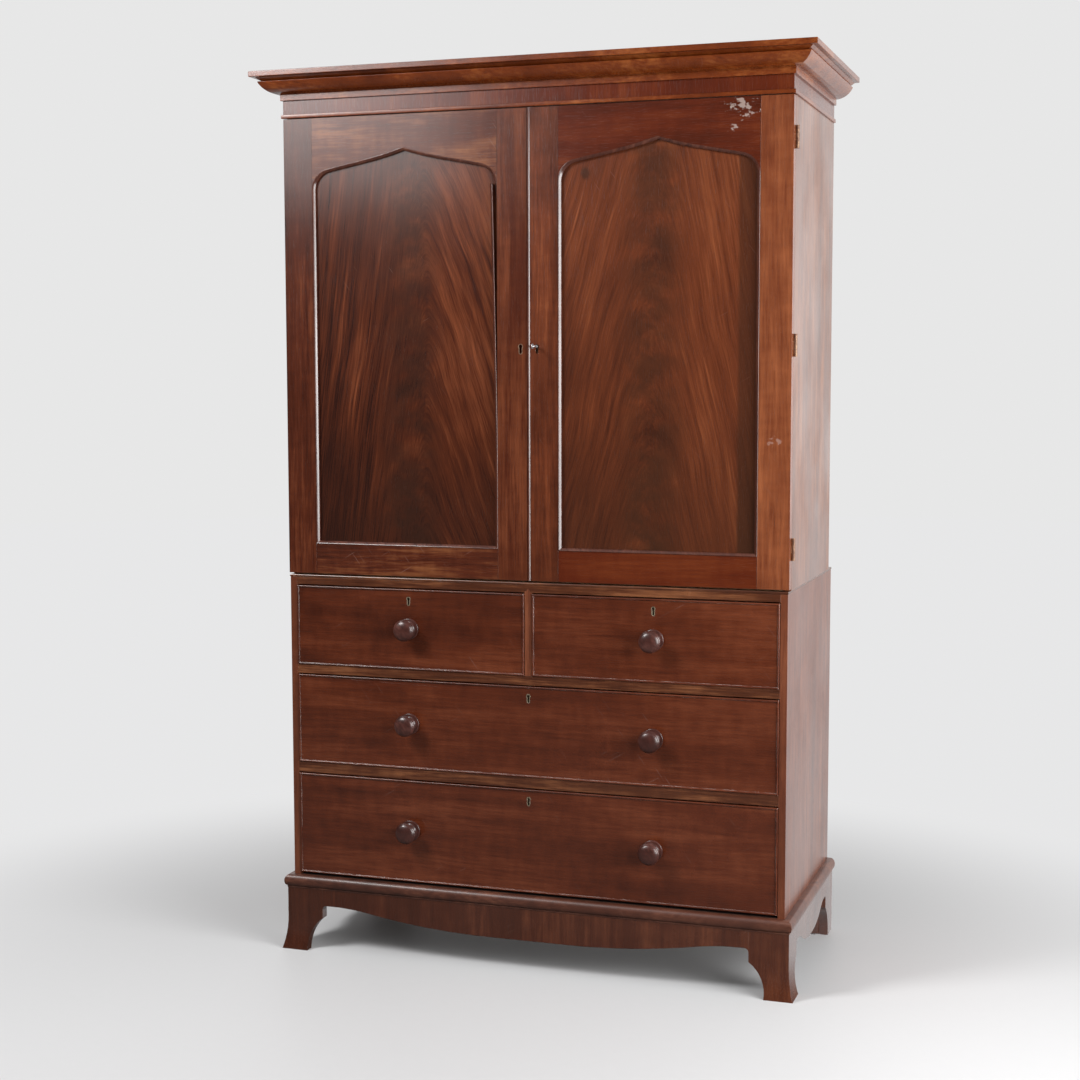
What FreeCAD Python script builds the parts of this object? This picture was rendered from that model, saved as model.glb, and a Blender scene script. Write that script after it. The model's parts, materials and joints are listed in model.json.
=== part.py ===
import FreeCAD, Part
import math
import os

V = FreeCAD.Vector

# ---------------------------------------------------------------------------
# Mahogany linen press in two carcasses: a chest of drawers on bracket feet,
# and above it a cupboard of linen trays behind two arched doors, with a loose
# cornice on top. Millimetres, X to the right, the front faces -Y, Z up.
# The origin is on the floor, in the middle of the plan.
# ---------------------------------------------------------------------------

# --- lower chest ------------------------------------------------------------
chest_width = 1238.0
chest_depth = 565.0
chest_side_thickness = 17.0
chest_board_thickness = 20.0
lipping_thickness = 6.0
lipping_width = 50.0
lipping_nose = 1.5
rail_depth = 22.0
top_rail_height = 18.0
upper_rail_height = 22.0
lower_rail_height = 26.0
top_opening_height = 199.0
middle_opening_height = 222.0
bottom_opening_height = 254.0
divider_width = 18.0
divider_depth = 60.0
bottom_board_height = 12.0      # underside of the bottom board over the plinth
bottom_strip_height = 6.0       # the lowest drawer runs on strips over the board
divider_head = 9.0              # the divider's pointed head, let into the top rail

# --- plinth and feet --------------------------------------------------------
plinth_height = 155.0
plinth_overhang = 13.0
plinth_thickness = 24.0
foot_width = 94.0
foot_sole_width = 56.0
foot_tip_height = 82.0
foot_curve_bulge = 12.5
foot_flare = 12.0
foot_flare_height = 80.0
corner_block_size = 45.0
corner_block_lift = 4.0
rear_bracket_thickness = 20.0
apron_end_height = 114.0        # lower edge of the apron beside the feet
apron_middle_height = 78.0      # lower edge of the front apron at the middle
apron_side_height = 76.0        # lower edge of the side aprons at the middle
apron_corner_radius = 10.0
apron_level_end = 26.0
apron_level_middle = 100.0
apron_side_level_middle = 20.0
apron_ogee_split = 0.24
base_moulding_height = 32.0
base_moulding_projection = 20.0
base_moulding_fillet = 3.0
base_moulding_lip = 1.0         # of the fillet, past the plinth
base_moulding_set_back = 9.0    # of the nose's top edge, from its front

# --- drawers ----------------------------------------------------------------
drawer_front_thickness = 20.0
drawer_side_thickness = 10.0
drawer_back_thickness = 10.0
drawer_bottom_thickness = 6.0
drawer_bottom_lift = 12.0
drawer_bottom_groove = 4.0
drawer_back_room = 33.0         # from a drawer's back to the boards behind it
drawer_side_gap = 1.0
drawer_top_gap = 3.0
drawer_bottom_gap = 0.3
drawer_side_drop = 6.0          # sides stand lower than the front
drawer_lap = 8.0                # wood left in front of the lapped dovetails
dovetail_pitch = 46.0
dovetail_slope = 0.16
dovetail_width_share = 0.72     # of the pitch, at the tip of a tail
cock_bead_width = 4.0
cock_bead_depth = 10.0
cock_bead_projection = 3.0
cock_bead_nose = 1.8
runner_width = 50.0
runner_thickness = 20.0
runner_housing = 5.0
dust_board_thickness = 8.0
guide_height = 20.0
stop_width = 40.0
stop_depth = 12.0
stop_height = 6.0
stop_gap = 0.5
stop_inset = 120.0

# --- knobs and drawer locks -------------------------------------------------
knob_base_radius = 25.5
knob_head_radius = 26.0
knob_neck_radius = 13.0
knob_projection = 46.0
knob_flange_edge = 3.0
knob_neck_start = 12.0          # heights from the drawer front
knob_neck_end = 22.0
knob_rim_start = 32.0
knob_rim_height = 36.0          # top of the widest part of the head
knob_spacing = 610.0
knob_tenon_radius = 9.0
drawer_lock_width = 56.0
drawer_lock_height = 50.0
drawer_lock_thickness = 11.0
drawer_lock_drop = 2.0
drawer_bolt_width = 20.0
drawer_bolt_thickness = 6.0
drawer_bolt_height = 26.0
drawer_bolt_throw = 8.0
drawer_keyhole_drop = 23.5      # round of the keyhole under the front's top edge
drawer_escutcheon_drop = 16.5
drawer_escutcheon_head_radius = 5.0
drawer_escutcheon_foot_half = 3.8
drawer_escutcheon_rim = 1.3
bolt_gap = 0.5

# --- upper press ------------------------------------------------------------
press_overhang = 2.5            # the press stands out past the chest at each side
press_height = 1103.0
press_depth = 493.0
press_board_thickness = 20.0
back_board_thickness = 10.0
back_board_rebate = 8.0
back_board_count = 5
back_board_edge_chamfer = 1.5
tray_count = 4
tray_setback = 34.0
tray_back_room = 19.0
tray_side_gap = 2.0
tray_side_height = 150.0
tray_front_height = 118.0
tray_front_dip = 34.0
tray_dip_width = 432.0
tray_front_thickness = 14.0
tray_side_thickness = 10.0
tray_bottom_thickness = 6.0
tray_bottom_lift = 8.0
tray_bottom_groove = 4.0
tray_rise = 34.0                # underside of the lowest tray over the bottom board
bearer_height = 16.0
bearer_width = 20.0

# --- doors ------------------------------------------------------------------
door_thickness = 22.0
door_back_gap = 1.0
door_gap = 1.5
door_bottom_gap = 4.0
door_top_gap = 2.0
stile_width = 74.0
bottom_rail_height = 73.0
arch_apex_drop = 77.0           # top of the door down to the point of the arch
arch_corner_radius = 50.0
arch_shoulder_slope = 11.0      # degrees
arch_flick_width = 90.0
arch_flick_rise = 23.3          # from the straight shoulders up to the point
arch_point_inset = 1.05         # an inset outline's point drops by this share of the inset
tenon_length = 45.0
tenon_thickness = 8.0
tenon_shoulder = 12.0
door_lip_thickness = 10.0
door_panel_thickness = 8.0
door_panel_rebate = 8.0
panel_bead_width = 7.0
panel_bead_proud = 1.5
panel_bead_bevel = 2.2
meeting_bead_width = 6.0
meeting_bead_proud = 2.5
meeting_bead_depth = 6.5
meeting_bead_nose = 2.4

# --- door ironmongery -------------------------------------------------------
hinge_length = 51.0
hinge_leaf_width = 18.0
hinge_leaf_thickness = 2.0
hinge_knuckle_radius = 4.0
hinge_pin_radius = 2.0
hinge_clearance = 0.3
hinge_pin_clearance = 0.05
hinge_inset = 90.0
lock_height_in_door = 549.5     # key axis over the bottom edge of the doors
keyhole_inset = 22.5            # key axis from the right door's meeting edge
false_keyhole_inset = 16.3      # the left door's keyhole from its meeting edge
escutcheon_drop = 18.5
escutcheon_head_radius = 6.2
escutcheon_foot_half = 4.8
escutcheon_rim = 1.6
lock_case_width = 46.0
lock_case_height = 46.0
lock_case_thickness = 13.0
lock_case_above_key = 24.0
lock_bolt_height = 12.0
lock_bolt_thickness = 6.0
lock_bolt_length = 34.0
lock_bolt_over_key = 9.0
lock_bolt_throw = 9.0
mortise_end_gap = 1.0
key_shank_radius = 2.2
key_shank_clearance = 0.4
key_reach = 19.0
key_bit_length = 7.5
key_bit_width = 5.0
key_bit_thickness = 2.0
key_stem = 26.0
key_collar_radius = 3.2
key_collar_length = 2.0
key_collar_stand = 6.0          # from the door's face
key_bow_radius = 6.5
key_bow_hole_radius = 3.4
key_bow_thickness = 3.0
key_bow_overlap = 1.0           # of the shank, into the bow
slide_bolt_inset = 35.0
slide_bolt_radius = 3.0
slide_bolt_clearance = 0.3
slide_bolt_standoff = 8.0
slide_bolt_length = 88.0
slide_bolt_throw = 12.0
slide_bolt_end_gap = 5.0
bolt_plate_width = 20.0
bolt_plate_thickness = 2.0
bolt_staple_width = 14.0
bolt_staple_length = 6.0
bolt_staple_depth = 11.0
bolt_staple_inset = 12.0
bolt_knob_length = 8.0
bolt_knob_radius = 2.2
escutcheon_depth = 2.0
escutcheon_proud = 0.3

# --- cornice ----------------------------------------------------------------
cornice_projection = 61.0
frieze_thickness = 20.0
frieze_bead_height = 9.0
frieze_bead_projection = 4.0
frieze_face_height = 33.0
cornice_step_height = 11.0
cornice_step_projection = 5.0
ovolo_height = 33.0
ovolo_projection = 40.0
ovolo_bulge = 8.5
cornice_fillet_height = 8.0
cornice_board_thickness = 13.0
cornice_board_round = 2.0

# --- working values ---------------------------------------------------------
past = 1.0                      # cutting shapes run this far past the wood
same = 1e-4                     # places closer than this are the same
widest_nose = 0.45              # a rounded edge takes at most this share of its strip

# --- places worked out from the sizes above ---------------------------------
front = (cornice_projection - chest_depth) / 2.0     # face of doors and drawers
chest_back = front + chest_depth
drawer_length = chest_depth - back_board_thickness - drawer_back_room
chest_half = chest_width / 2.0
opening_half = chest_half - chest_side_thickness
divider_half = divider_width / 2.0

bottom_board_z = plinth_height + bottom_board_height
bottom_opening_z = bottom_board_z + chest_board_thickness + bottom_strip_height
lower_rail_z = bottom_opening_z + bottom_opening_height
middle_opening_z = lower_rail_z + lower_rail_height
upper_rail_z = middle_opening_z + middle_opening_height
top_opening_z = upper_rail_z + upper_rail_height
top_rail_z = top_opening_z + top_opening_height
chest_side_top = top_rail_z + top_rail_height
chest_top_z = chest_side_top + lipping_thickness

press_half = chest_half + press_overhang
press_inner_half = press_half - press_board_thickness
press_front = front + door_thickness + door_back_gap
press_back = press_front + press_depth
tray_depth = press_depth - back_board_thickness - tray_setback - tray_back_room
press_floor = chest_top_z + press_board_thickness
press_top = chest_top_z + press_height
press_ceiling = press_top - press_board_thickness

door_bottom = chest_top_z + door_bottom_gap
door_top = press_top - door_top_gap
door_back = front + door_thickness
door_edge = door_gap / 2.0
door_middle = (press_half + door_edge) / 2.0         # middle of a door, from x = 0
sight_half = (press_half - door_edge) / 2.0 - stile_width
sight_bottom = door_bottom + bottom_rail_height
sight_apex = door_top - arch_apex_drop
arch_shoulder_run = (
    sight_half - arch_corner_radius - arch_flick_width
    + arch_corner_radius * math.sin(math.radians(arch_shoulder_slope)))
sight_spring = (
    sight_apex - arch_flick_rise
    - arch_shoulder_run * math.tan(math.radians(arch_shoulder_slope))
    - arch_corner_radius * math.cos(math.radians(arch_shoulder_slope)))
panel_face = front + door_lip_thickness
key_z = door_bottom + lock_height_in_door
key_x = door_edge + keyhole_inset
hinge_axis_x = press_half + hinge_clearance + hinge_knuckle_radius
hinge_axis_y = door_back + door_back_gap / 2.0
hinge_heights = (
    door_bottom + hinge_inset,
    (door_bottom + door_top) / 2.0,
    door_top - hinge_inset,
)
slide_bolt_x = door_edge + slide_bolt_inset
slide_bolt_y = door_back + slide_bolt_standoff

plinth_half = chest_half + plinth_overhang
plinth_front = front - plinth_overhang
foot_inner = plinth_half - foot_width


# --- shape helpers ----------------------------------------------------------
def box(x0, x1, y0, y1, z0, z1):
    """A box between two opposite corners."""
    return Part.makeBox(x1 - x0, y1 - y0, z1 - z0, V(x0, y0, z0))


def rod(centre, direction, radius, length):
    """A cylinder that starts at centre and runs along direction."""
    return Part.makeCylinder(radius, length, centre, direction)


def curve_wire(points):
    """A closed wire through points; a point given as (middle, end) ends an arc."""
    edges = []
    here = points[0]
    for step in list(points[1:]) + [points[0]]:
        if isinstance(step, tuple):
            middle, there = step
            edges.append(Part.Arc(here, middle, there).toShape())
        else:
            there = step
            edges.append(Part.LineSegment(here, there).toShape())
        here = there
    return Part.Wire(edges)


def prism(points, direction):
    """A solid from a closed outline pushed along direction."""
    return Part.Face(curve_wire(points)).extrude(direction)


def mirrored(shape):
    """The same shape on the other side of the press."""
    return shape.mirror(V(0, 0, 0), V(1, 0, 0))


def arc_middle(start, end, bulge, side):
    """The middle of an arc whose height over its chord is bulge, towards side."""
    chord = end - start
    level = V(chord.x, chord.y, 0)
    across = V(0, 0, level.Length) - level * (chord.z / level.Length)
    across.normalize()
    if across.dot(side) < 0:
        across = across * -1.0
    return (start + end) * 0.5 + across * bulge


def level_arc(level, other):
    """The middle of an arc that leaves the point level horizontally and ends at other."""
    run = other - level
    along = V(run.x, run.y, 0)
    rise = run.z
    radius = (along.Length ** 2 + rise ** 2) / (2.0 * abs(rise))
    half_turn = math.asin(along.Length / radius) / 2.0
    along.normalize()
    up = 1.0 if rise > 0 else -1.0
    return level + along * (radius * math.sin(half_turn)) \
        + V(0, 0, up * radius * (1.0 - math.cos(half_turn)))


def save(name, *solids):
    """Writes the separate solids of one named piece."""
    flat = []
    for solid in solids:
        flat.extend(solid.Solids)
    shape = flat[0] if len(flat) == 1 else Part.makeCompound(flat)
    for solid in flat:
        if not solid.isValid() or solid.Volume <= 0:
            print("CHECK", name, solid.isValid(), solid.Volume)
    shape.exportStep("parts/" + name + ".step")
    print(name, len(flat), round(sum(s.Volume for s in flat) / 1000.0, 1), "cm3")


def mitred_run(outline, half, front_y, back_y, reach):
    """A moulding round the front and both sides, mitred at the front corners.

    outline(place) gives the section's points, where place(out, z) puts a
    distance out from the face and a height into space.
    """
    near = front_y - reach
    far = half + reach
    across = prism(outline(lambda out, z: V(-far, front_y - out, z)), V(2 * far, 0, 0))
    along = prism(outline(lambda out, z: V(half + out, near, z)), V(0, back_y - near, 0))
    low = across.BoundBox.ZMin - past
    tall = across.BoundBox.ZLength + 2.0 * past
    depth = back_y - front_y

    def corner(sign):
        return prism(
            [
                V(sign * (half + reach + past), near - past, low),
                V(sign * (half + reach + past), front_y + depth + past, low),
                V(sign * (half - depth), front_y + depth + past, low),
                V(sign * (half - depth), front_y + depth, low),
            ],
            V(0, 0, tall),
        )

    right_corner = corner(1)
    front_piece = across.cut(right_corner).cut(corner(-1))
    right_piece = along.common(right_corner)
    return [front_piece, mirrored(right_piece), right_piece]


def mitred_frame(x0, x1, z0, z1, width, y0, y1, nose):
    """Four strips round a rectangle in the XZ plane, mitred, rounded in front by nose."""
    strips = []
    section_depth = y1 - y0

    def bar(length):
        strip = box(0, length, y0, y1, 0, width)
        if nose > 0:
            edges = [e for e in strip.Edges
                     if abs(e.BoundBox.YMax - y0) < same and e.BoundBox.XLength > length / 2.0]
            strip = strip.makeFillet(min(nose, width * widest_nose), edges)
        wedge = prism(
            [V(0, y0, 0), V(length, y0, 0), V(length - width, y0, width), V(width, y0, width)],
            V(0, section_depth, 0),
        )
        return strip.common(wedge)

    for start, angle, length in (
        (V(x0, 0, z0), 0, x1 - x0),
        (V(x1, 0, z0), -90, z1 - z0),
        (V(x1, 0, z1), 180, x1 - x0),
        (V(x0, 0, z1), 90, z1 - z0),
    ):
        strip = bar(length)
        strip.rotate(V(0, 0, 0), V(0, 1, 0), angle)
        strip.translate(start)
        strips.append(strip)
    return strips


def keyhole(x, z, y0, y1, radius, slot_half, drop):
    """A keyhole-shaped prism: a round head and a slot that hangs below it."""
    head = rod(V(x, y0, z), V(0, 1, 0), radius, y1 - y0)
    slot = box(x - slot_half, x + slot_half, y0, y1, z - drop + slot_half, z)
    foot = rod(V(x, y0, z - drop + slot_half), V(0, 1, 0), slot_half, y1 - y0)
    return head.fuse(slot).fuse(foot).removeSplitter()


def back_boards(half, y0, z0, z1):
    """Upright boards side by side, their back edges chamfered."""
    boards = []
    width = 2.0 * half / back_board_count
    bevel = back_board_edge_chamfer
    y1 = y0 + back_board_thickness
    for i in range(back_board_count):
        x0 = -half + i * width
        boards.append(prism(
            [
                V(x0, y0, z0), V(x0 + width, y0, z0), V(x0 + width, y1 - bevel, z0),
                V(x0 + width - bevel, y1, z0), V(x0 + bevel, y1, z0), V(x0, y1 - bevel, z0),
            ],
            V(0, 0, z1 - z0),
        ))
    return boards


# --- plinth -----------------------------------------------------------------
def flare_offset_arc(place, top, sign):
    """The flared part of a foot's outer edge, from its top down to the floor."""
    radius = (foot_flare_height ** 2 + foot_flare ** 2) / (2.0 * foot_flare)
    turn = math.asin(foot_flare_height / radius)
    half_turn = turn / 2.0
    middle = place(top + sign * radius * (1.0 - math.cos(half_turn)),
                   foot_flare_height - radius * math.sin(half_turn))
    end = place(top + sign * foot_flare, 0.0)
    return (middle, end)


def foot_outline(place, outer, sign, flared):
    """A bracket foot seen square on; place(across, z) puts a point in space."""
    inner = outer - sign * foot_width
    sole = outer - sign * foot_sole_width
    tip = place(inner, foot_tip_height)
    heel = place(sole, 0.0)
    side = place(outer, foot_tip_height) - place(inner, 0.0)
    hollow = arc_middle(heel, tip, foot_curve_bulge, side)
    if flared:
        outer_edge = [place(outer, foot_flare_height), flare_offset_arc(place, outer, sign)]
    else:
        outer_edge = [place(outer, 0.0)]
    return [place(inner, plinth_height), place(outer, plinth_height)] + outer_edge \
        + [heel, (hollow, tip)]


def flared_slab(place, outer, sign):
    """The section of a flared bracket: its face, and its back a thickness behind."""
    inner = outer - sign * plinth_thickness
    lower_face = flare_offset_arc(place, outer, sign)
    radius_place = flare_offset_arc(place, inner, sign)
    return [
        place(outer, plinth_height), place(outer, foot_flare_height), lower_face,
        place(inner + sign * foot_flare, 0.0),
        (radius_place[0], place(inner, foot_flare_height)),
        place(inner, plinth_height),
    ]


def front_foot():
    """The right front foot: two flared brackets mitred together, and a block."""
    far = plinth_half + foot_flare + past
    near = plinth_front - foot_flare - past
    front_view = prism(
        foot_outline(lambda a, z: V(a, near, z), plinth_half, 1, True),
        V(0, plinth_thickness + 2.0 * (foot_flare + past), 0))
    side_section = prism(
        flared_slab(lambda a, z: V(foot_inner - past, a, z), plinth_front, -1),
        V(far - foot_inner + 2.0 * past, 0, 0))
    side_view = prism(
        foot_outline(lambda a, z: V(foot_inner, a, z), plinth_front, -1, True),
        V(far - foot_inner, 0, 0))
    front_section = prism(
        flared_slab(lambda a, z: V(a, near, z), plinth_half, 1),
        V(0, foot_width + foot_flare + 2.0 * past, 0))
    reach = foot_width + foot_flare + 2.0 * past
    mitre = prism(
        [V(plinth_half + reach, plinth_front - reach, -past),
         V(plinth_half + reach, plinth_front + reach, -past),
         V(plinth_half - reach, plinth_front + reach, -past)],
        V(0, 0, plinth_height + 2.0 * past))
    front_bracket = front_view.common(side_section).cut(mitre)
    side_bracket = side_view.common(front_section).common(mitre)
    block = box(
        plinth_half - plinth_thickness - corner_block_size, plinth_half - plinth_thickness,
        plinth_front + plinth_thickness, plinth_front + plinth_thickness + corner_block_size,
        foot_flare_height, plinth_height)
    return [front_bracket, side_bracket, block]


def back_foot():
    """The right back foot: a side bracket, a plain rear bracket and a block."""
    inner = plinth_half - plinth_thickness
    side_bracket = prism(
        foot_outline(lambda a, z: V(inner, a, z), chest_back, 1, False),
        V(plinth_thickness, 0, 0))
    rear_y = chest_back - rear_bracket_thickness
    rear_bracket = prism(
        foot_outline(lambda a, z: V(a, rear_y, z), inner, 1, False),
        V(0, rear_bracket_thickness, 0))
    block = box(inner - corner_block_size, inner, rear_y - corner_block_size, rear_y,
                corner_block_lift, plinth_height)
    return [side_bracket, rear_bracket, block]


def apron_outline(place, half, low, level_middle):
    """An apron between two feet: level by the feet, an ogee, level in the middle."""
    start_a = half - apron_level_end
    fall = apron_end_height - low
    run = start_a - level_middle
    bend_a = start_a - apron_ogee_split * run
    bend_z = apron_end_height - apron_ogee_split * fall

    def lower_half(sign):
        corner = place(sign * half, apron_end_height - apron_corner_radius)
        corner_end = place(sign * (half - apron_corner_radius), apron_end_height)
        slack = apron_corner_radius * (1.0 - math.sqrt(0.5))
        corner_middle = place(sign * (half - slack), apron_end_height - slack)
        start = place(sign * start_a, apron_end_height)
        bend = place(sign * bend_a, bend_z)
        flat = place(sign * level_middle, low)
        upper = level_arc(start, bend)
        lower = level_arc(flat, bend)
        return corner, corner_middle, corner_end, start, upper, bend, lower, flat

    r = lower_half(1)
    s = lower_half(-1)
    return [
        place(half, plinth_height), r[0], (r[1], r[2]), r[3], (r[4], r[5]), (r[6], r[7]),
        s[7], (s[6], s[5]), (s[4], s[3]), s[2], (s[1], s[0]), place(-half, plinth_height),
    ]


def aprons():
    """The front apron, and the pair at the sides."""
    front_apron = prism(
        apron_outline(lambda a, z: V(a, plinth_front, z), foot_inner,
                      apron_middle_height, apron_level_middle),
        V(0, plinth_thickness, 0))
    side_front = plinth_front + foot_width
    side_back = chest_back - foot_width
    side_half = (side_back - side_front) / 2.0
    side_middle = (side_back + side_front) / 2.0
    side_apron = prism(
        apron_outline(lambda a, z: V(plinth_half - plinth_thickness, side_middle + a, z),
                      side_half, apron_side_height, apron_side_level_middle),
        V(plinth_thickness, 0, 0))
    return front_apron, side_apron


def base_moulding_section(place):
    """A bold round nose over a small fillet."""
    z0 = plinth_height
    z1 = plinth_height + base_moulding_height
    lip = plinth_overhang + base_moulding_lip
    nose = base_moulding_projection
    return [
        place(0, z0), place(lip, z0), place(lip, z0 + base_moulding_fillet),
        (place(nose, (z0 + z1) / 2.0), place(nose - base_moulding_set_back, z1)),
        place(0, z1),
    ]


def build_plinth():
    """Feet, aprons and the base moulding."""
    foot = front_foot()
    save("feet_front", *(foot + [mirrored(piece) for piece in foot]))
    rear = back_foot()
    save("feet_back", *(rear + [mirrored(piece) for piece in rear]))
    front_apron, side_apron = aprons()
    save("apron_front", front_apron)
    save("aprons_side", side_apron, mirrored(side_apron))
    save("base_moulding", *mitred_run(
        base_moulding_section, chest_half, front, chest_back, base_moulding_projection + past))


# --- chest carcass ----------------------------------------------------------
def runner_frame(rail_top, with_middle):
    """Runners behind a rail, with thin dust boards grooved between them."""
    z0 = rail_top - runner_thickness
    y0 = front + rail_depth
    y1 = chest_back - back_board_thickness
    outer = opening_half + runner_housing
    inner = opening_half - runner_width
    groove_z0 = rail_top - (runner_thickness + dust_board_thickness) / 2.0
    groove_z1 = groove_z0 + dust_board_thickness
    groove = runner_housing
    runners = [box(inner, outer, y0, y1, z0, rail_top)]
    runners.append(mirrored(runners[0]))
    dust_spans = [(-inner, inner)]
    if with_middle:
        runners.append(box(-runner_width, runner_width, y0, y1, z0, rail_top))
        dust_spans = [(-inner, -runner_width), (runner_width, inner)]
    dust_boards = [box(a - groove, b + groove, y0, y1, groove_z0, groove_z1)
                   for a, b in dust_spans]
    for board in dust_boards:
        runners = [runner.cut(board) for runner in runners]
    return runners, dust_boards


def drawer_stops(floor_z, height, places):
    """Small blocks behind the drawer front, which it comes home against."""
    y0 = front + drawer_front_thickness + stop_gap
    return [box(x - stop_width / 2.0, x + stop_width / 2.0, y0, y0 + stop_depth,
                floor_z, floor_z + height) for x in places]


def bolt_mortise(x, rail_z):
    """The mortise in a rail's underside for the lock bolt of the drawer below."""
    half = drawer_bolt_width / 2.0 + bolt_gap
    y0 = bolt_front() - bolt_gap
    y1 = bolt_front() + drawer_bolt_thickness + bolt_gap
    depth = drawer_bolt_throw + mortise_end_gap
    return box(x - half, x + half, y0, y1, rail_z - past, rail_z + depth)


def bolt_front():
    """The front face of every drawer bolt."""
    return front + drawer_front_thickness - (drawer_lock_thickness + drawer_bolt_thickness) / 2.0


def divider_head_piece(z0):
    """The front of the divider from a height up to its point, shaped like a gable."""
    return prism(
        [V(-divider_half, front, z0), V(divider_half, front, z0),
         V(divider_half, front, top_rail_z), V(0, front, top_rail_z + divider_head),
         V(-divider_half, front, top_rail_z)],
        V(0, rail_depth, 0))


def build_chest():
    """Sides, boards, rails, runners and back of the lower carcass."""
    inner = opening_half
    boards_y = chest_back - back_board_thickness
    upper_runners, upper_dust = runner_frame(top_opening_z, True)
    lower_runners, lower_dust = runner_frame(middle_opening_z, False)

    side = box(inner, chest_half, front, chest_back, plinth_height, chest_side_top)
    side = side.cut(box(inner, inner + back_board_rebate, boards_y, chest_back,
                        plinth_height, chest_side_top))
    side = side.cut(upper_runners[0]).cut(lower_runners[0])
    save("chest_sides", side, mirrored(side))

    top_rail = box(-inner, inner, front, front + rail_depth, top_rail_z, chest_side_top)
    for x in (-short_middle(), short_middle()):
        top_rail = top_rail.cut(bolt_mortise(x, top_rail_z))
    top_rail = top_rail.cut(divider_head_piece(top_rail_z - past))
    top_board = box(-inner, inner, front + rail_depth, boards_y,
                    chest_side_top - chest_board_thickness, chest_side_top)
    lipping = mitred_run(
        lambda place: [
            place(-lipping_width, chest_side_top), place(0, chest_side_top),
            (place(lipping_nose, chest_side_top + lipping_thickness / 2.0),
             place(0, chest_top_z)),
            place(-lipping_width, chest_top_z)],
        chest_half, front, chest_back, lipping_nose + past)
    rear_strip = box(-chest_half + lipping_width, chest_half - lipping_width,
                     chest_back - lipping_width, chest_back, chest_side_top, chest_top_z)
    save("chest_top", top_board, top_rail, rear_strip, *lipping)

    board_top = bottom_board_z + chest_board_thickness
    strip = box(inner - runner_width, inner, front + rail_depth, boards_y, board_top,
                bottom_opening_z)
    save("chest_bottom_board",
         box(-inner, inner, front, boards_y, bottom_board_z, board_top),
         strip, mirrored(strip),
         *drawer_stops(board_top, stop_height + bottom_strip_height,
                       (-inner + stop_inset, inner - stop_inset)))
    save("chest_back_boards", *back_boards(
        inner + back_board_rebate, boards_y, plinth_height, chest_side_top))

    upper_rail = box(-inner, inner, front, front + rail_depth, upper_rail_z, top_opening_z)
    lower_rail = box(-inner, inner, front, front + rail_depth, lower_rail_z, middle_opening_z)
    save("drawer_rails", upper_rail.cut(bolt_mortise(0, upper_rail_z)),
         lower_rail.cut(bolt_mortise(0, lower_rail_z)))
    under_board = chest_side_top - chest_board_thickness
    divider = box(-divider_half, divider_half, front, front + divider_depth,
                  top_opening_z, under_board)
    save("drawer_divider", divider.fuse(divider_head_piece(under_board)).removeSplitter())

    guide = box(-divider_half, divider_half, front + divider_depth,
                chest_back - back_board_thickness, top_opening_z,
                top_opening_z + guide_height)
    short_stops = drawer_stops(top_opening_z, stop_height, (
        -inner + stop_inset, -divider_half - stop_inset, divider_half + stop_inset,
        inner - stop_inset))
    save("upper_runners", *(upper_runners + upper_dust + [guide] + short_stops))
    save("lower_runners", *(lower_runners + lower_dust + drawer_stops(
        middle_opening_z, stop_height, (-inner + stop_inset, inner - stop_inset))))


# --- drawers ----------------------------------------------------------------
def short_middle():
    """The middle of a short drawer, from the middle of the chest."""
    return (opening_half + divider_half) / 2.0


def dovetails(x0, x1, y_root, y_tip, z0, z1):
    """Tails between two heights, wider at their tips, in a board of one thickness."""
    height = z1 - z0
    count = max(2, int(round(height / dovetail_pitch)))
    pitch = height / count
    spread = abs(y_tip - y_root) * dovetail_slope
    tails = []
    for i in range(count):
        middle = z0 + (i + 0.5) * pitch
        tip_half = pitch * dovetail_width_share / 2.0
        root_half = tip_half - spread
        tails.append(prism(
            [V(x0, y_root, middle - root_half), V(x0, y_root, middle + root_half),
             V(x0, y_tip, middle + tip_half), V(x0, y_tip, middle - tip_half)],
            V(x1 - x0, 0, 0)))
    return tails


def knob(x, z):
    """A turned knob: a tenon, a round foot, a neck and a head with a domed face."""
    out = knob_projection
    head = knob_head_radius
    rim = knob_rim_height
    dome = (head ** 2 + (out - rim) ** 2) / (2.0 * (out - rim))
    half_turn = math.asin(head / dome) / 2.0
    profile = [
        V(0, 0, -drawer_front_thickness), V(knob_tenon_radius, 0, -drawer_front_thickness),
        V(knob_tenon_radius, 0, 0), V(knob_base_radius, 0, 0),
        V(knob_base_radius, 0, knob_flange_edge), V(knob_neck_radius, 0, knob_neck_start),
        V(knob_neck_radius, 0, knob_neck_end), V(head, 0, knob_rim_start), V(head, 0, rim),
        (V(dome * math.sin(half_turn), 0, out - dome * (1.0 - math.cos(half_turn))),
         V(0, 0, out)),
    ]
    turned = Part.Face(curve_wire(profile)).revolve(V(0, 0, 0), V(0, 0, 1), 360)
    turned.rotate(V(0, 0, 0), V(1, 0, 0), 90)
    turned.translate(V(x, front, z))
    return turned


def escutcheon(x, z, head_radius, foot_half, drop, rim, hole_end):
    """A thread escutcheon: its keyhole-shaped rim, the recess it fills and its hole."""
    y0 = front - escutcheon_proud
    outer = keyhole(x, z, y0, front + escutcheon_depth, head_radius, foot_half, drop)
    hole = keyhole(x, z, y0, hole_end, head_radius - rim, foot_half - rim, drop - rim)
    return outer.cut(hole), outer, hole


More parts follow.
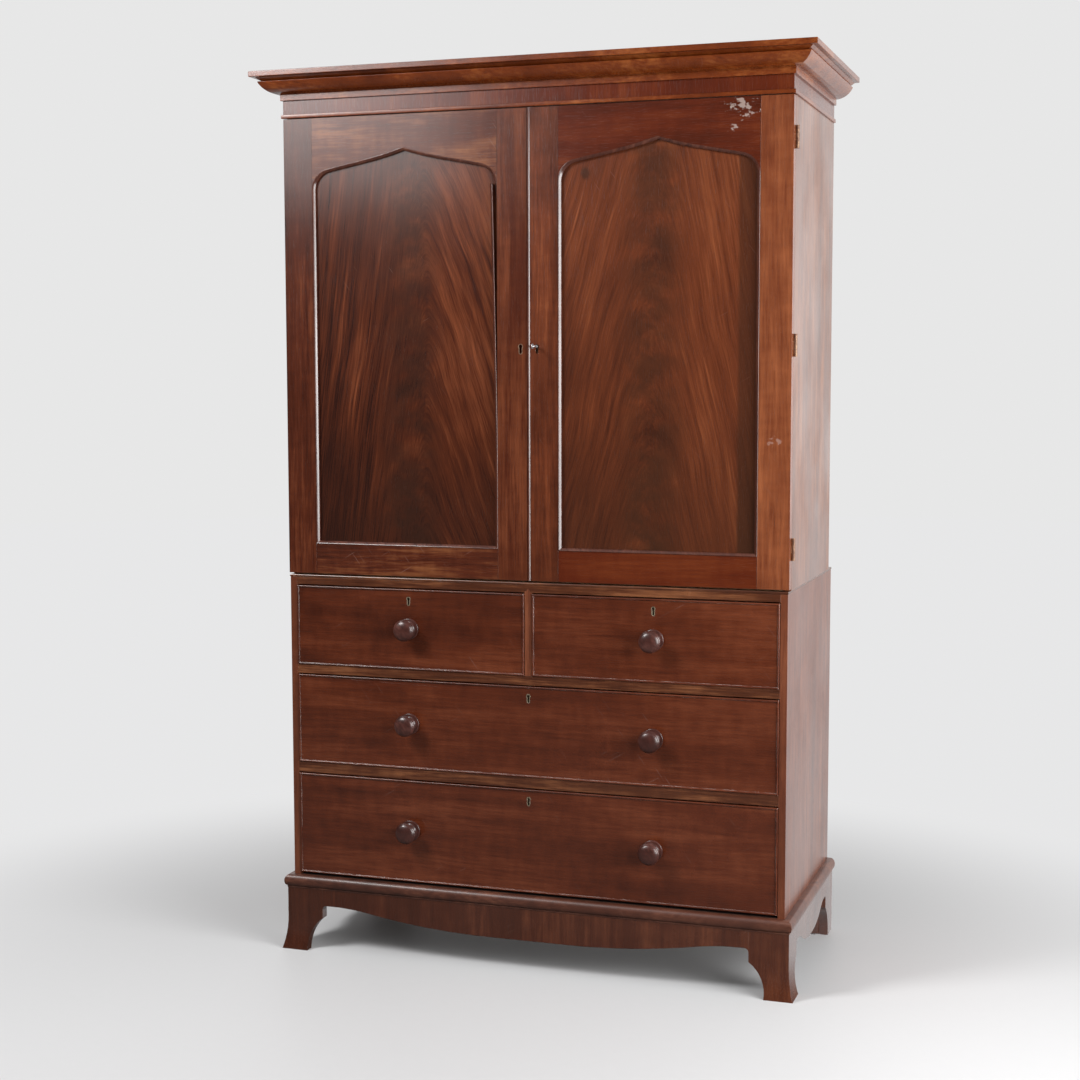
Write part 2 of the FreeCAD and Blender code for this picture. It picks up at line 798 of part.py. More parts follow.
def build_drawer(name, x0, x1, floor_z, opening_height, knob_places):
    """One drawer in its opening: front with cock beads, box, knobs, lock and bolt."""
    x0 = x0 + drawer_side_gap
    x1 = x1 - drawer_side_gap
    z0 = floor_z + drawer_bottom_gap
    z1 = floor_z + opening_height - drawer_top_gap
    middle = (x0 + x1) / 2.0
    y_back = front + drawer_front_thickness
    y_end = front + drawer_length
    bead = cock_bead_width
    side_top = z1 - drawer_side_drop
    bead_back = front - cock_bead_projection + cock_bead_depth

    board = box(x0, x1, bead_back, y_back, z0, z1)
    board = board.fuse(box(x0 + bead, x1 - bead, front, bead_back, z0 + bead, z1 - bead))
    board = board.removeSplitter()
    beads = mitred_frame(x0, x1, z0, z1, bead, front - cock_bead_projection, bead_back,
                         cock_bead_nose)

    side_x = x0 + drawer_side_thickness
    left = box(x0, side_x, y_back, y_end - drawer_back_thickness, z0, side_top)
    front_tails = dovetails(x0, side_x, y_back, front + drawer_lap, z0, side_top)
    back_z0 = z0 + drawer_bottom_lift + drawer_bottom_thickness
    back_tails = dovetails(x0, side_x, y_end - drawer_back_thickness, y_end, back_z0, side_top)
    back = box(x0, x1, y_end - drawer_back_thickness, y_end, back_z0, side_top)
    far_side = V(2.0 * middle, 0, 0)
    bottom = box(side_x - drawer_bottom_groove, x1 - drawer_side_thickness
                 + drawer_bottom_groove, y_back - drawer_bottom_groove, y_end,
                 z0 + drawer_bottom_lift, back_z0)
    for tail in front_tails:
        left = left.fuse(tail)
        board = board.cut(tail).cut(mirrored(tail).translate(far_side))
    for tail in back_tails:
        left = left.fuse(tail)
        back = back.cut(tail).cut(mirrored(tail).translate(far_side))
    left = left.removeSplitter().cut(bottom)
    right = mirrored(left).translate(far_side)
    board = board.cut(bottom)

    lock_z1 = z1 - drawer_lock_drop
    lock_half = drawer_lock_width / 2.0
    lock_y = y_back - drawer_lock_thickness
    case = box(middle - lock_half, middle + lock_half, lock_y, y_back,
               lock_z1 - drawer_lock_height, lock_z1)
    board = board.cut(case)
    bolt_y = bolt_front()
    bolt_half = drawer_bolt_width / 2.0
    bolt = box(middle - bolt_half, middle + bolt_half, bolt_y, bolt_y + drawer_bolt_thickness,
               z1 - drawer_bolt_height, z1)
    channel = box(middle - bolt_half - bolt_gap, middle + bolt_half + bolt_gap,
                  bolt_y - bolt_gap, bolt_y + drawer_bolt_thickness + bolt_gap,
                  z1 - drawer_bolt_height - bolt_gap, z1 + past)
    case = case.cut(channel)
    board = board.cut(channel)
    rim, recess, hole = escutcheon(
        middle, z1 - drawer_keyhole_drop, drawer_escutcheon_head_radius,
        drawer_escutcheon_foot_half, drawer_escutcheon_drop, drawer_escutcheon_rim, lock_y)
    board = board.cut(recess).cut(hole)

    knobs = []
    for x in knob_places:
        piece = knob(x, floor_z + opening_height / 2.0)
        knobs.append(piece)
        board = board.cut(rod(V(x, front - past, floor_z + opening_height / 2.0), V(0, 1, 0),
                              knob_tenon_radius, drawer_front_thickness + 2.0 * past))

    save(name + "_drawer_front", board, *beads)
    save(name + "_drawer_box", left, right, back, bottom)
    save(name + "_drawer_knobs", *knobs)
    save(name + "_drawer_lock", rim, case)
    save(name + "_drawer_bolt", bolt)


def build_drawers():
    """Two short drawers side by side over two long ones."""
    knob_x = knob_spacing / 2.0
    build_drawer("top_left", -opening_half, -divider_half, top_opening_z, top_opening_height,
                 (-short_middle(),))
    build_drawer("top_right", divider_half, opening_half, top_opening_z, top_opening_height,
                 (short_middle(),))
    build_drawer("middle", -opening_half, opening_half, middle_opening_z,
                 middle_opening_height, (-knob_x, knob_x))
    build_drawer("bottom", -opening_half, opening_half, bottom_opening_z,
                 bottom_opening_height, (-knob_x, knob_x))


# --- upper press ------------------------------------------------------------
def slide_bolt_hole(z0, z1):
    """The hole that a slide bolt of the left door shoots into."""
    return rod(V(-slide_bolt_x, slide_bolt_y, z0), V(0, 0, 1),
               slide_bolt_radius + 2.0 * slide_bolt_clearance, z1 - z0)


def tray(floor_z):
    """A sliding linen tray: two sides, a back, a dipped front and a thin bottom."""
    half = press_inner_half - tray_side_gap
    y0 = press_front + tray_setback
    y1 = y0 + tray_depth
    t = tray_side_thickness
    side = box(half - t, half, y0 + tray_front_thickness, y1, floor_z,
               floor_z + tray_side_height)
    back = box(-half + t, half - t, y1 - t, y1, floor_z, floor_z + tray_side_height)
    top = floor_z + tray_front_height
    face = box(-half, half, y0, y0 + tray_front_thickness, floor_z, top)
    dip_half = tray_dip_width / 2.0
    dip = prism(
        [V(-dip_half, y0 - past, top + past), V(-dip_half, y0 - past, top),
         (V(0, y0 - past, top - tray_front_dip), V(dip_half, y0 - past, top)),
         V(dip_half, y0 - past, top + past)],
        V(0, tray_front_thickness + 2.0 * past, 0))
    g = tray_bottom_groove
    bottom = box(-half + t - g, half - t + g, y0 + tray_front_thickness - g, y1 - t + g,
                 floor_z + tray_bottom_lift, floor_z + tray_bottom_lift
                 + tray_bottom_thickness)
    side = side.cut(bottom)
    return [face.cut(dip).cut(bottom), side, mirrored(side), back.cut(bottom), bottom]


def build_press():
    """Sides, boards, back, bearers and trays of the upper carcass."""
    inner = press_inner_half
    boards_y = press_back - back_board_thickness
    side = box(inner, press_half, press_front, press_back, chest_top_z, press_top)
    side = side.cut(box(inner, inner + back_board_rebate, boards_y, press_back,
                        chest_top_z, press_top))
    for z in hinge_heights:
        side = side.cut(leaf_plate(z, press_front, press_front + hinge_leaf_thickness))
    save("press_sides", side, mirrored(side))
    top_board = box(-inner, inner, press_front, boards_y, press_ceiling, press_top)
    bottom_board = box(-inner, inner, press_front, boards_y, chest_top_z, press_floor)
    bolt_reach = slide_bolt_throw - slide_bolt_end_gap + mortise_end_gap
    save("press_top_board", top_board.cut(
        slide_bolt_hole(press_ceiling - past, press_ceiling + bolt_reach)))
    save("press_bottom_board", bottom_board.cut(
        slide_bolt_hole(press_floor - bolt_reach, press_floor + past)))
    save("press_back_boards", *back_boards(
        inner + back_board_rebate, boards_y, chest_top_z, press_top))

    bearers = []
    pitch = (press_ceiling - press_floor) / tray_count
    bearer_y0 = press_front + tray_setback
    for i in range(tray_count):
        floor_z = press_floor + tray_rise + i * pitch
        bearer = box(inner - bearer_width, inner, bearer_y0, bearer_y0 + tray_depth,
                     floor_z - bearer_height, floor_z)
        bearers += [bearer, mirrored(bearer)]
        save("linen_tray_%d" % (i + 1), *tray(floor_z))
    save("tray_bearers", *bearers)


# --- doors ------------------------------------------------------------------
def sight_outline(place, inset):
    """The arched opening of a door, drawn a distance inside its edge.

    The arch has round shoulders, a shallow straight rise and a reverse curve
    up to a point. place(across, z) puts a point in space.
    """
    slope = math.radians(arch_shoulder_slope)
    half = sight_half - inset
    radius = arch_corner_radius - inset
    centre_a = sight_half - arch_corner_radius
    shoulder_a = centre_a + radius * math.sin(slope)
    shoulder_z = sight_spring + radius * math.cos(slope)
    shoulder_mid = (math.pi / 2.0 + slope) / 2.0
    corner_a = centre_a + radius * math.sin(shoulder_mid)
    corner_z = sight_spring + radius * math.cos(shoulder_mid)
    flick_a = arch_flick_width
    flick_z = shoulder_z + (shoulder_a - flick_a) * math.tan(slope)
    apex_z = sight_apex - inset * arch_point_inset
    chord = V(flick_a, 0, flick_z - apex_z)
    chord_angle = math.atan2(apex_z - flick_z, flick_a)
    sag = chord.Length / 2.0 * math.tan((chord_angle - slope) / 2.0)
    flick_mid_a = flick_a / 2.0 - sag * math.sin(chord_angle)
    flick_mid_z = (flick_z + apex_z) / 2.0 - sag * math.cos(chord_angle)
    return [
        place(half, sight_bottom + inset), place(half, sight_spring),
        (place(corner_a, corner_z), place(shoulder_a, shoulder_z)),
        place(flick_a, flick_z), (place(flick_mid_a, flick_mid_z), place(0, apex_z)),
        (place(-flick_mid_a, flick_mid_z), place(-flick_a, flick_z)),
        place(-shoulder_a, shoulder_z),
        (place(-corner_a, corner_z), place(-half, sight_spring)),
        place(-half, sight_bottom + inset),
    ]


def leaf_plate(z, y0, y1):
    """The plate of a hinge leaf at the right edge, centred on a height."""
    return box(press_half - hinge_leaf_width, press_half, y0, y1,
               z - hinge_length / 2.0, z + hinge_length / 2.0)


def hinge_leaf(z, y0, thirds):
    """A leaf with a solid knuckle on each of the named thirds of its length."""
    leaf = leaf_plate(z, y0, y0 + hinge_leaf_thickness)
    third = hinge_length / 3.0
    low = z - hinge_length / 2.0
    for i in thirds:
        z0 = low + i * third + (hinge_clearance / 2.0 if i > 0 else 0.0)
        z1 = low + (i + 1) * third - (hinge_clearance / 2.0 if i < 2 else 0.0)
        neck = box(press_half - hinge_leaf_thickness, hinge_axis_x, y0,
                   y0 + hinge_leaf_thickness, z0, z1)
        barrel = rod(V(hinge_axis_x, hinge_axis_y, z0), V(0, 0, 1), hinge_knuckle_radius,
                     z1 - z0)
        leaf = leaf.fuse(neck).fuse(barrel)
    return leaf.removeSplitter()


def hinge_pin(z, radius):
    """The pin of a hinge, or the bore for it, as long as the hinge."""
    return rod(V(hinge_axis_x, hinge_axis_y, z - hinge_length / 2.0), V(0, 0, 1),
               radius, hinge_length)


def case_hinges():
    """Case leaves of the right door's three hinges, with their fast pins."""
    return [hinge_leaf(z, press_front, (0, 2)).fuse(hinge_pin(z, hinge_pin_radius))
            .removeSplitter() for z in hinge_heights]


def door_hinges():
    """Door leaves of the right door's three hinges, bored for the pins."""
    return [hinge_leaf(z, door_back - hinge_leaf_thickness, (1,))
            .cut(hinge_pin(z, hinge_pin_radius + hinge_pin_clearance)) for z in hinge_heights]


def door_frame():
    """Stiles, rails, panel and beads of the right door."""
    meeting_x0 = door_edge
    meeting_x1 = door_edge + stile_width
    hinge_x0 = press_half - stile_width
    sight = prism(sight_outline(lambda a, z: V(door_middle + a, front - past, z), 0.0),
                  V(0, door_thickness + 2.0 * past, 0))
    rebate = door_panel_rebate
    seat = box(door_middle - sight_half - rebate, door_middle + sight_half + rebate,
               panel_face, door_back + past, sight_bottom - rebate, sight_apex + rebate)

    def stile(x0):
        return box(x0, x0 + stile_width, front, door_back, door_bottom, door_top)

    def rail(z0, z1):
        body = box(meeting_x1, hinge_x0, front, door_back, z0, z1)
        tenon_y0 = front + (door_lip_thickness - tenon_thickness) / 2.0
        tenon = box(meeting_x1 - tenon_length, hinge_x0 + tenon_length, tenon_y0,
                    tenon_y0 + tenon_thickness, z0 + tenon_shoulder, z1 - tenon_shoulder)
        return body.fuse(tenon).removeSplitter()

    top_rail = rail(sight_spring, door_top).cut(sight).cut(seat)
    bottom_rail = rail(door_bottom, sight_bottom).cut(seat)
    stiles = []
    for x0 in (meeting_x0, hinge_x0):
        stiles.append(stile(x0).cut(seat).cut(top_rail).cut(bottom_rail))

    panel = box(door_middle - sight_half - rebate, door_middle + sight_half + rebate,
                panel_face, panel_face + door_panel_thickness, sight_bottom - rebate,
                sight_apex + rebate)
    strips = mitred_frame(
        door_middle - sight_half - rebate, door_middle + sight_half + rebate,
        sight_bottom - rebate, sight_apex + rebate, rebate,
        panel_face + door_panel_thickness, door_back, 0)
    return stiles, [top_rail, bottom_rail], panel, panel_bead() + strips


def panel_bead():
    """The bead round the right door's panel: three straight strips and two arched ones."""
    bead_y = front - panel_bead_proud
    depth = panel_face - bead_y
    half = sight_half
    width = panel_bead_width

    def place(a, z):
        return V(door_middle + a, bead_y, z)

    ring = prism(sight_outline(place, 0.0), V(0, depth, 0))
    ring = ring.cut(prism(sight_outline(place, width), V(0, depth, 0)))
    front_edges = [e for e in ring.Edges if e.BoundBox.YMax < bead_y + same]
    ring = ring.makeChamfer(panel_bead_bevel, front_edges)
    low = sight_bottom
    regions = [
        [(-half, low), (half, low), (half - width, low + width), (width - half, low + width)],
        [(half, low), (half, sight_spring), (half - width, sight_spring),
         (half - width, low + width)],
        [(-half, low), (-half, sight_spring), (width - half, sight_spring),
         (width - half, low + width)],
        [(0, sight_spring), (half, sight_spring), (half, sight_apex), (0, sight_apex)],
        [(0, sight_spring), (-half, sight_spring), (-half, sight_apex), (0, sight_apex)],
    ]
    return [ring.common(prism([place(a, z) for a, z in region], V(0, depth, 0)))
            for region in regions]


def door_lock():
    """The cupboard lock in the right door: its case, bolt and recesses."""
    z0 = key_z + lock_case_above_key - lock_case_height
    z1 = key_z + lock_case_above_key
    y0 = door_back - lock_case_thickness
    case = box(door_edge, door_edge + lock_case_width, y0, door_back, z0, z1)
    recess = case.copy()
    bolt_z0 = key_z + lock_bolt_over_key
    bolt_y0 = y0 + (lock_case_thickness - lock_bolt_thickness) / 2.0
    bolt = box(door_edge, door_edge + lock_bolt_length, bolt_y0,
               bolt_y0 + lock_bolt_thickness, bolt_z0, bolt_z0 + lock_bolt_height)
    channel = box(door_edge - past, door_edge + lock_bolt_length + bolt_gap,
                  bolt_y0 - bolt_gap, bolt_y0 + lock_bolt_thickness + bolt_gap,
                  bolt_z0 - bolt_gap, bolt_z0 + lock_bolt_height + bolt_gap)
    mortise = box(-door_edge - lock_bolt_throw - mortise_end_gap, -door_edge + past,
                  bolt_y0 - bolt_gap, bolt_y0 + lock_bolt_thickness + bolt_gap,
                  bolt_z0 - bolt_gap, bolt_z0 + lock_bolt_height + bolt_gap)
    bit_room = key_bit_length + key_shank_clearance
    shank_hole = rod(V(key_x, y0 - past, key_z), V(0, 1, 0),
                     key_shank_radius + key_shank_clearance,
                     key_reach - (y0 - front) + 2.0 * past)
    bit_hole = rod(V(key_x, bolt_y0 - bolt_gap, key_z), V(0, 1, 0), bit_room,
                   lock_bolt_thickness + 2.0 * bolt_gap)
    case = case.cut(channel).cut(shank_hole).cut(bit_hole)
    return case, recess, bolt, mortise


def door_key():
    """A small cabinet key, standing in the right door's lock."""
    axis = V(key_x, 0, key_z)
    y_tip = front + key_reach
    y_bow = front - key_stem
    shank = rod(V(axis.x, y_bow, axis.z), V(0, 1, 0), key_shank_radius, y_tip - y_bow)
    collar = rod(V(axis.x, front - key_collar_stand, axis.z), V(0, 1, 0),
                 key_collar_radius, key_collar_length)
    bit_y0 = door_back - (lock_case_thickness + key_bit_width) / 2.0
    bit = box(axis.x - key_bit_thickness / 2.0, axis.x + key_bit_thickness / 2.0, bit_y0,
              bit_y0 + key_bit_width, axis.z - key_bit_length, axis.z)
    bow_y = y_bow - key_bow_radius + key_bow_overlap
    bow = rod(V(axis.x - key_bow_thickness / 2.0, bow_y, axis.z), V(1, 0, 0),
              key_bow_radius, key_bow_thickness)
    bow = bow.cut(rod(V(axis.x - key_bow_thickness, bow_y, axis.z), V(1, 0, 0),
                      key_bow_hole_radius, 2.0 * key_bow_thickness))
    return shank.fuse(collar).fuse(bit).fuse(bow).removeSplitter()


def slide_bolt():
    """The top slide bolt of the left door, drawn back, and its plate."""
    tip = press_ceiling - slide_bolt_end_gap
    foot = tip - slide_bolt_length
    x = -slide_bolt_x
    bolt = rod(V(x, slide_bolt_y, foot), V(0, 0, 1), slide_bolt_radius, slide_bolt_length)
    thumb_z = (tip + foot) / 2.0
    thumb = rod(V(x, slide_bolt_y, thumb_z), V(0, 1, 0), bolt_knob_radius,
                slide_bolt_radius + bolt_knob_length)
    bolt = bolt.fuse(thumb).removeSplitter()
    half = bolt_plate_width / 2.0
    plate = box(x - half, x + half, door_back, door_back + bolt_plate_thickness,
                foot + slide_bolt_throw, tip - slide_bolt_end_gap)
    staple_half = bolt_staple_width / 2.0
    hole = rod(V(x, slide_bolt_y, foot), V(0, 0, 1), slide_bolt_radius
               + slide_bolt_clearance, slide_bolt_length)
    for z in (foot + slide_bolt_throw + bolt_staple_inset,
              tip - slide_bolt_end_gap - bolt_staple_inset):
        staple = box(x - staple_half, x + staple_half, door_back,
                     door_back + bolt_plate_thickness + bolt_staple_depth,
                     z - bolt_staple_length / 2.0, z + bolt_staple_length / 2.0)
        plate = plate.fuse(staple)
    return bolt, plate.cut(hole).removeSplitter()


def flipped(shape):
    """The same shape turned end for end about the middle of the cupboard's height."""
    middle = (press_floor + press_ceiling) / 2.0
    return shape.mirror(V(0, 0, middle), V(0, 0, 1))


def build_doors():
    """Both doors, their hinges, the lock with its key and the slide bolts."""
    stiles, rails, panel, beads = door_frame()
    leaves = door_hinges()
    hinge_seats = [leaf_plate(z, door_back - hinge_leaf_thickness, door_back + past)
                   for z in hinge_heights]
    hinge_stile = stiles[1]
    for seat in hinge_seats:
        hinge_stile = hinge_stile.cut(seat)
    sizes = (escutcheon_head_radius, escutcheon_foot_half, escutcheon_drop, escutcheon_rim,
             door_back - lock_case_thickness)
    key_hole = escutcheon(key_x, key_z, *sizes)[2]
    rim, recess, false_hole = escutcheon(-door_edge - false_keyhole_inset, key_z, *sizes)
    case, lock_recess, lock_bolt, mortise = door_lock()
    left_meeting = mirrored(stiles[0]).cut(mortise).cut(recess).cut(false_hole)
    top_bolt, plate = slide_bolt()
    save("left_door_stiles", left_meeting, mirrored(hinge_stile))
    save("left_door_rails", *[mirrored(rail) for rail in rails])
    save("left_door_panel", mirrored(panel))
    save("left_door_beads", *[mirrored(piece) for piece in beads])
    save("left_door_brassware", rim, plate, flipped(plate),
         *[mirrored(leaf) for leaf in leaves])
    save("left_door_top_bolt", top_bolt)
    save("left_door_bottom_bolt", flipped(top_bolt))

    right_meeting = stiles[0].cut(lock_recess).cut(key_hole)
    meeting_bead = box(door_edge, door_edge + meeting_bead_width,
                       front - meeting_bead_proud,
                       front - meeting_bead_proud + meeting_bead_depth,
                       door_bottom, door_top)
    right_meeting = right_meeting.cut(meeting_bead)
    nose = [e for e in meeting_bead.Edges
            if e.BoundBox.YMax < front - meeting_bead_proud + same
            and e.BoundBox.ZLength > door_thickness]
    meeting_bead = meeting_bead.makeFillet(
        min(meeting_bead_nose, meeting_bead_width * widest_nose), nose)
    save("right_door_stiles", right_meeting, hinge_stile)
    save("right_door_rails", *rails)
    save("right_door_panel", panel)
    save("right_door_beads", meeting_bead, *beads)
    save("right_door_brassware", *leaves)
    save("door_lock_case", case)
    save("door_lock_bolt", lock_bolt)
    save("door_key", door_key())
    case_leaves = case_hinges()
    save("case_hinges", *(case_leaves + [mirrored(leaf) for leaf in case_leaves]))


# --- cornice ----------------------------------------------------------------
def build_cornice():
    """Frieze with its bead, the mouldings over it and the mitred top boards."""
    z_bead = press_top + frieze_bead_height
    z_step = z_bead + frieze_face_height
    z_ovolo = z_step + cornice_step_height
    z_fillet = z_ovolo + ovolo_height
    z_board = z_fillet + cornice_fillet_height
    z_top = z_board + cornice_board_thickness
    reach = cornice_projection + past

    def frieze(place):
        return [place(-frieze_thickness, press_top), place(0, press_top),
                place(0, z_board), place(-frieze_thickness, z_board)]

    def bead(place):
        return [place(0, press_top),
                (place(frieze_bead_projection, (press_top + z_bead) / 2.0),
                 place(0, z_bead))]

    def moulding(place):
        step = cornice_step_projection
        out = step + ovolo_projection
        return [place(0, z_step), place(step, z_step), place(step, z_ovolo),
                (arc_middle(place(step, z_ovolo), place(out, z_fillet), ovolo_bulge,
                            V(0, 0, -1)), place(out, z_fillet)),
                place(out, z_board), place(0, z_board)]

    def board(place):
        r = cornice_board_round
        out = cornice_projection
        return [place(-frieze_thickness, z_board), place(out - r, z_board),
                place(out, z_board + r), place(out, z_top - r), place(out - r, z_top),
                place(-frieze_thickness, z_top)]

    rear = box(-press_half + frieze_thickness, press_half - frieze_thickness,
               press_back - frieze_thickness, press_back, press_top, z_board)
    save("cornice_frieze", rear,
         *(mitred_run(frieze, press_half, front, press_back, reach)
           + mitred_run(bead, press_half, front, press_back, reach)))
    save("cornice_mouldings",
         *(mitred_run(moulding, press_half, front, press_back, reach)
           + mitred_run(board, press_half, front, press_back, reach)))


os.makedirs("parts", exist_ok=True)
build_plinth()
build_chest()
build_drawers()
build_press()
build_doors()
build_cornice()
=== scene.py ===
"""A mahogany linen press in a plain studio: its mouldings, fittings and finishes.

Lengths are metres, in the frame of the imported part: X to the right, the doors
and drawers face -Y, Z up, with the floor at zero.
"""

import json
import logging
import math
from collections.abc import Iterable, Mapping, Sequence
from dataclasses import dataclass, replace
from enum import Enum
from typing import Any

import bmesh
import bpy
from mathutils import Matrix, Vector

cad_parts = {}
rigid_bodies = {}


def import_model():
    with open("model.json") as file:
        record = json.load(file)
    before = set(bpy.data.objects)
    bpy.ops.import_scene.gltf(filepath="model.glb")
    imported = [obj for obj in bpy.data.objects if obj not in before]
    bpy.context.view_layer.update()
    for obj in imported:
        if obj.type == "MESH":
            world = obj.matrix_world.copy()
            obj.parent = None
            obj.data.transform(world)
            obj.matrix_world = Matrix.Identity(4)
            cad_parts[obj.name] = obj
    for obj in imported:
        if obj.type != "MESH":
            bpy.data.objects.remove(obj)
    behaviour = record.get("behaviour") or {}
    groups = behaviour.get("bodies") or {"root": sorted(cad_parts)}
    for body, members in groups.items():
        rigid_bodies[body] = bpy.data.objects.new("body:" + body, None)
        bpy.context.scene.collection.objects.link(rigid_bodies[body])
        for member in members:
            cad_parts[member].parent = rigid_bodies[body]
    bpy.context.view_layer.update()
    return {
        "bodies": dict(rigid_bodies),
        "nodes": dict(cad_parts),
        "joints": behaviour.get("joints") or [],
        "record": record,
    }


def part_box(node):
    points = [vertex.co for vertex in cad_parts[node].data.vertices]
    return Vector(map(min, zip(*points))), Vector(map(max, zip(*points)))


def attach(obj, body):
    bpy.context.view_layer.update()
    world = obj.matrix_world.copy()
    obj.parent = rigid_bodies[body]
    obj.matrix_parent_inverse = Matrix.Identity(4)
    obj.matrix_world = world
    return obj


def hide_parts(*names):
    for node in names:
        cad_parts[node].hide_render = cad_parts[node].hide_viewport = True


LOG = logging.getLogger("linen_press")

Colour = tuple[float, float, float]
Pair = tuple[float, float]
Frame = dict[str, Any]
Place = tuple["Field", "Field", "Field"]

FORWARDS = Vector((0.0, -1.0, 0.0))
BACKWARDS = Vector((0.0, 1.0, 0.0))


# --- shader maths ---------------------------------------------------------------
class Field:
    """A number that varies over a surface, combined with ordinary operators."""

    def __init__(self, graph: "Graph", socket: bpy.types.NodeSocket) -> None:
        """Keeps the graph that the number belongs to and the socket that gives it."""
        self.graph = graph
        self.socket = socket

    def _math(self, operation: str, *values: "Field | float") -> "Field":
        """One Math node on these values, as a new field."""
        sockets = dict(enumerate(values))
        return Field(self.graph,
                     self.graph.node("ShaderNodeMath", {"operation": operation}, sockets).outputs[0])

    def __add__(self, other: "Field | float") -> "Field":
        """self + other."""
        return self._math("ADD", self, other)

    __radd__ = __add__

    def __sub__(self, other: "Field | float") -> "Field":
        """self - other."""
        return self._math("SUBTRACT", self, other)

    def __rsub__(self, other: float) -> "Field":
        """other - self."""
        return self._math("SUBTRACT", other, self)

    def __mul__(self, other: "Field | float") -> "Field":
        """self * other."""
        return self._math("MULTIPLY", self, other)

    __rmul__ = __mul__

    def __truediv__(self, other: "Field | float") -> "Field":
        """self / other."""
        return self._math("DIVIDE", self, other)

    def __pow__(self, other: float) -> "Field":
        """self ** other."""
        return self._math("POWER", self, other)

    def __abs__(self) -> "Field":
        """The size of self without its sign."""
        return self._math("ABSOLUTE", self)

    def root(self) -> "Field":
        """The square root of self."""
        return self._math("SQRT", self)

    def over(self, limit: float) -> "Field":
        """1 where self is over limit, and 0 elsewhere."""
        return self._math("GREATER_THAN", self, limit)

    def larger(self, other: "Field | float") -> "Field":
        """The larger of self and other at each place."""
        return self._math("MAXIMUM", self, other)

    def smaller(self, other: "Field | float") -> "Field":
        """The smaller of self and other at each place."""
        return self._math("MINIMUM", self, other)

    def rise(self, low: float, high: float) -> "Field":
        """A soft step from 0 at low to 1 at high; low may be over high."""
        node = self.graph.node(
            "ShaderNodeMapRange", {"interpolation_type": "SMOOTHSTEP"},
            {"Value": self, "From Min": low, "From Max": high})
        return Field(self.graph, node.outputs[0])

    def hump(self, middle: float, half: float) -> "Field":
        """A soft bump, 1 at middle and 0 at half to either side of it."""
        return abs(self - middle).rise(half, 0.0)


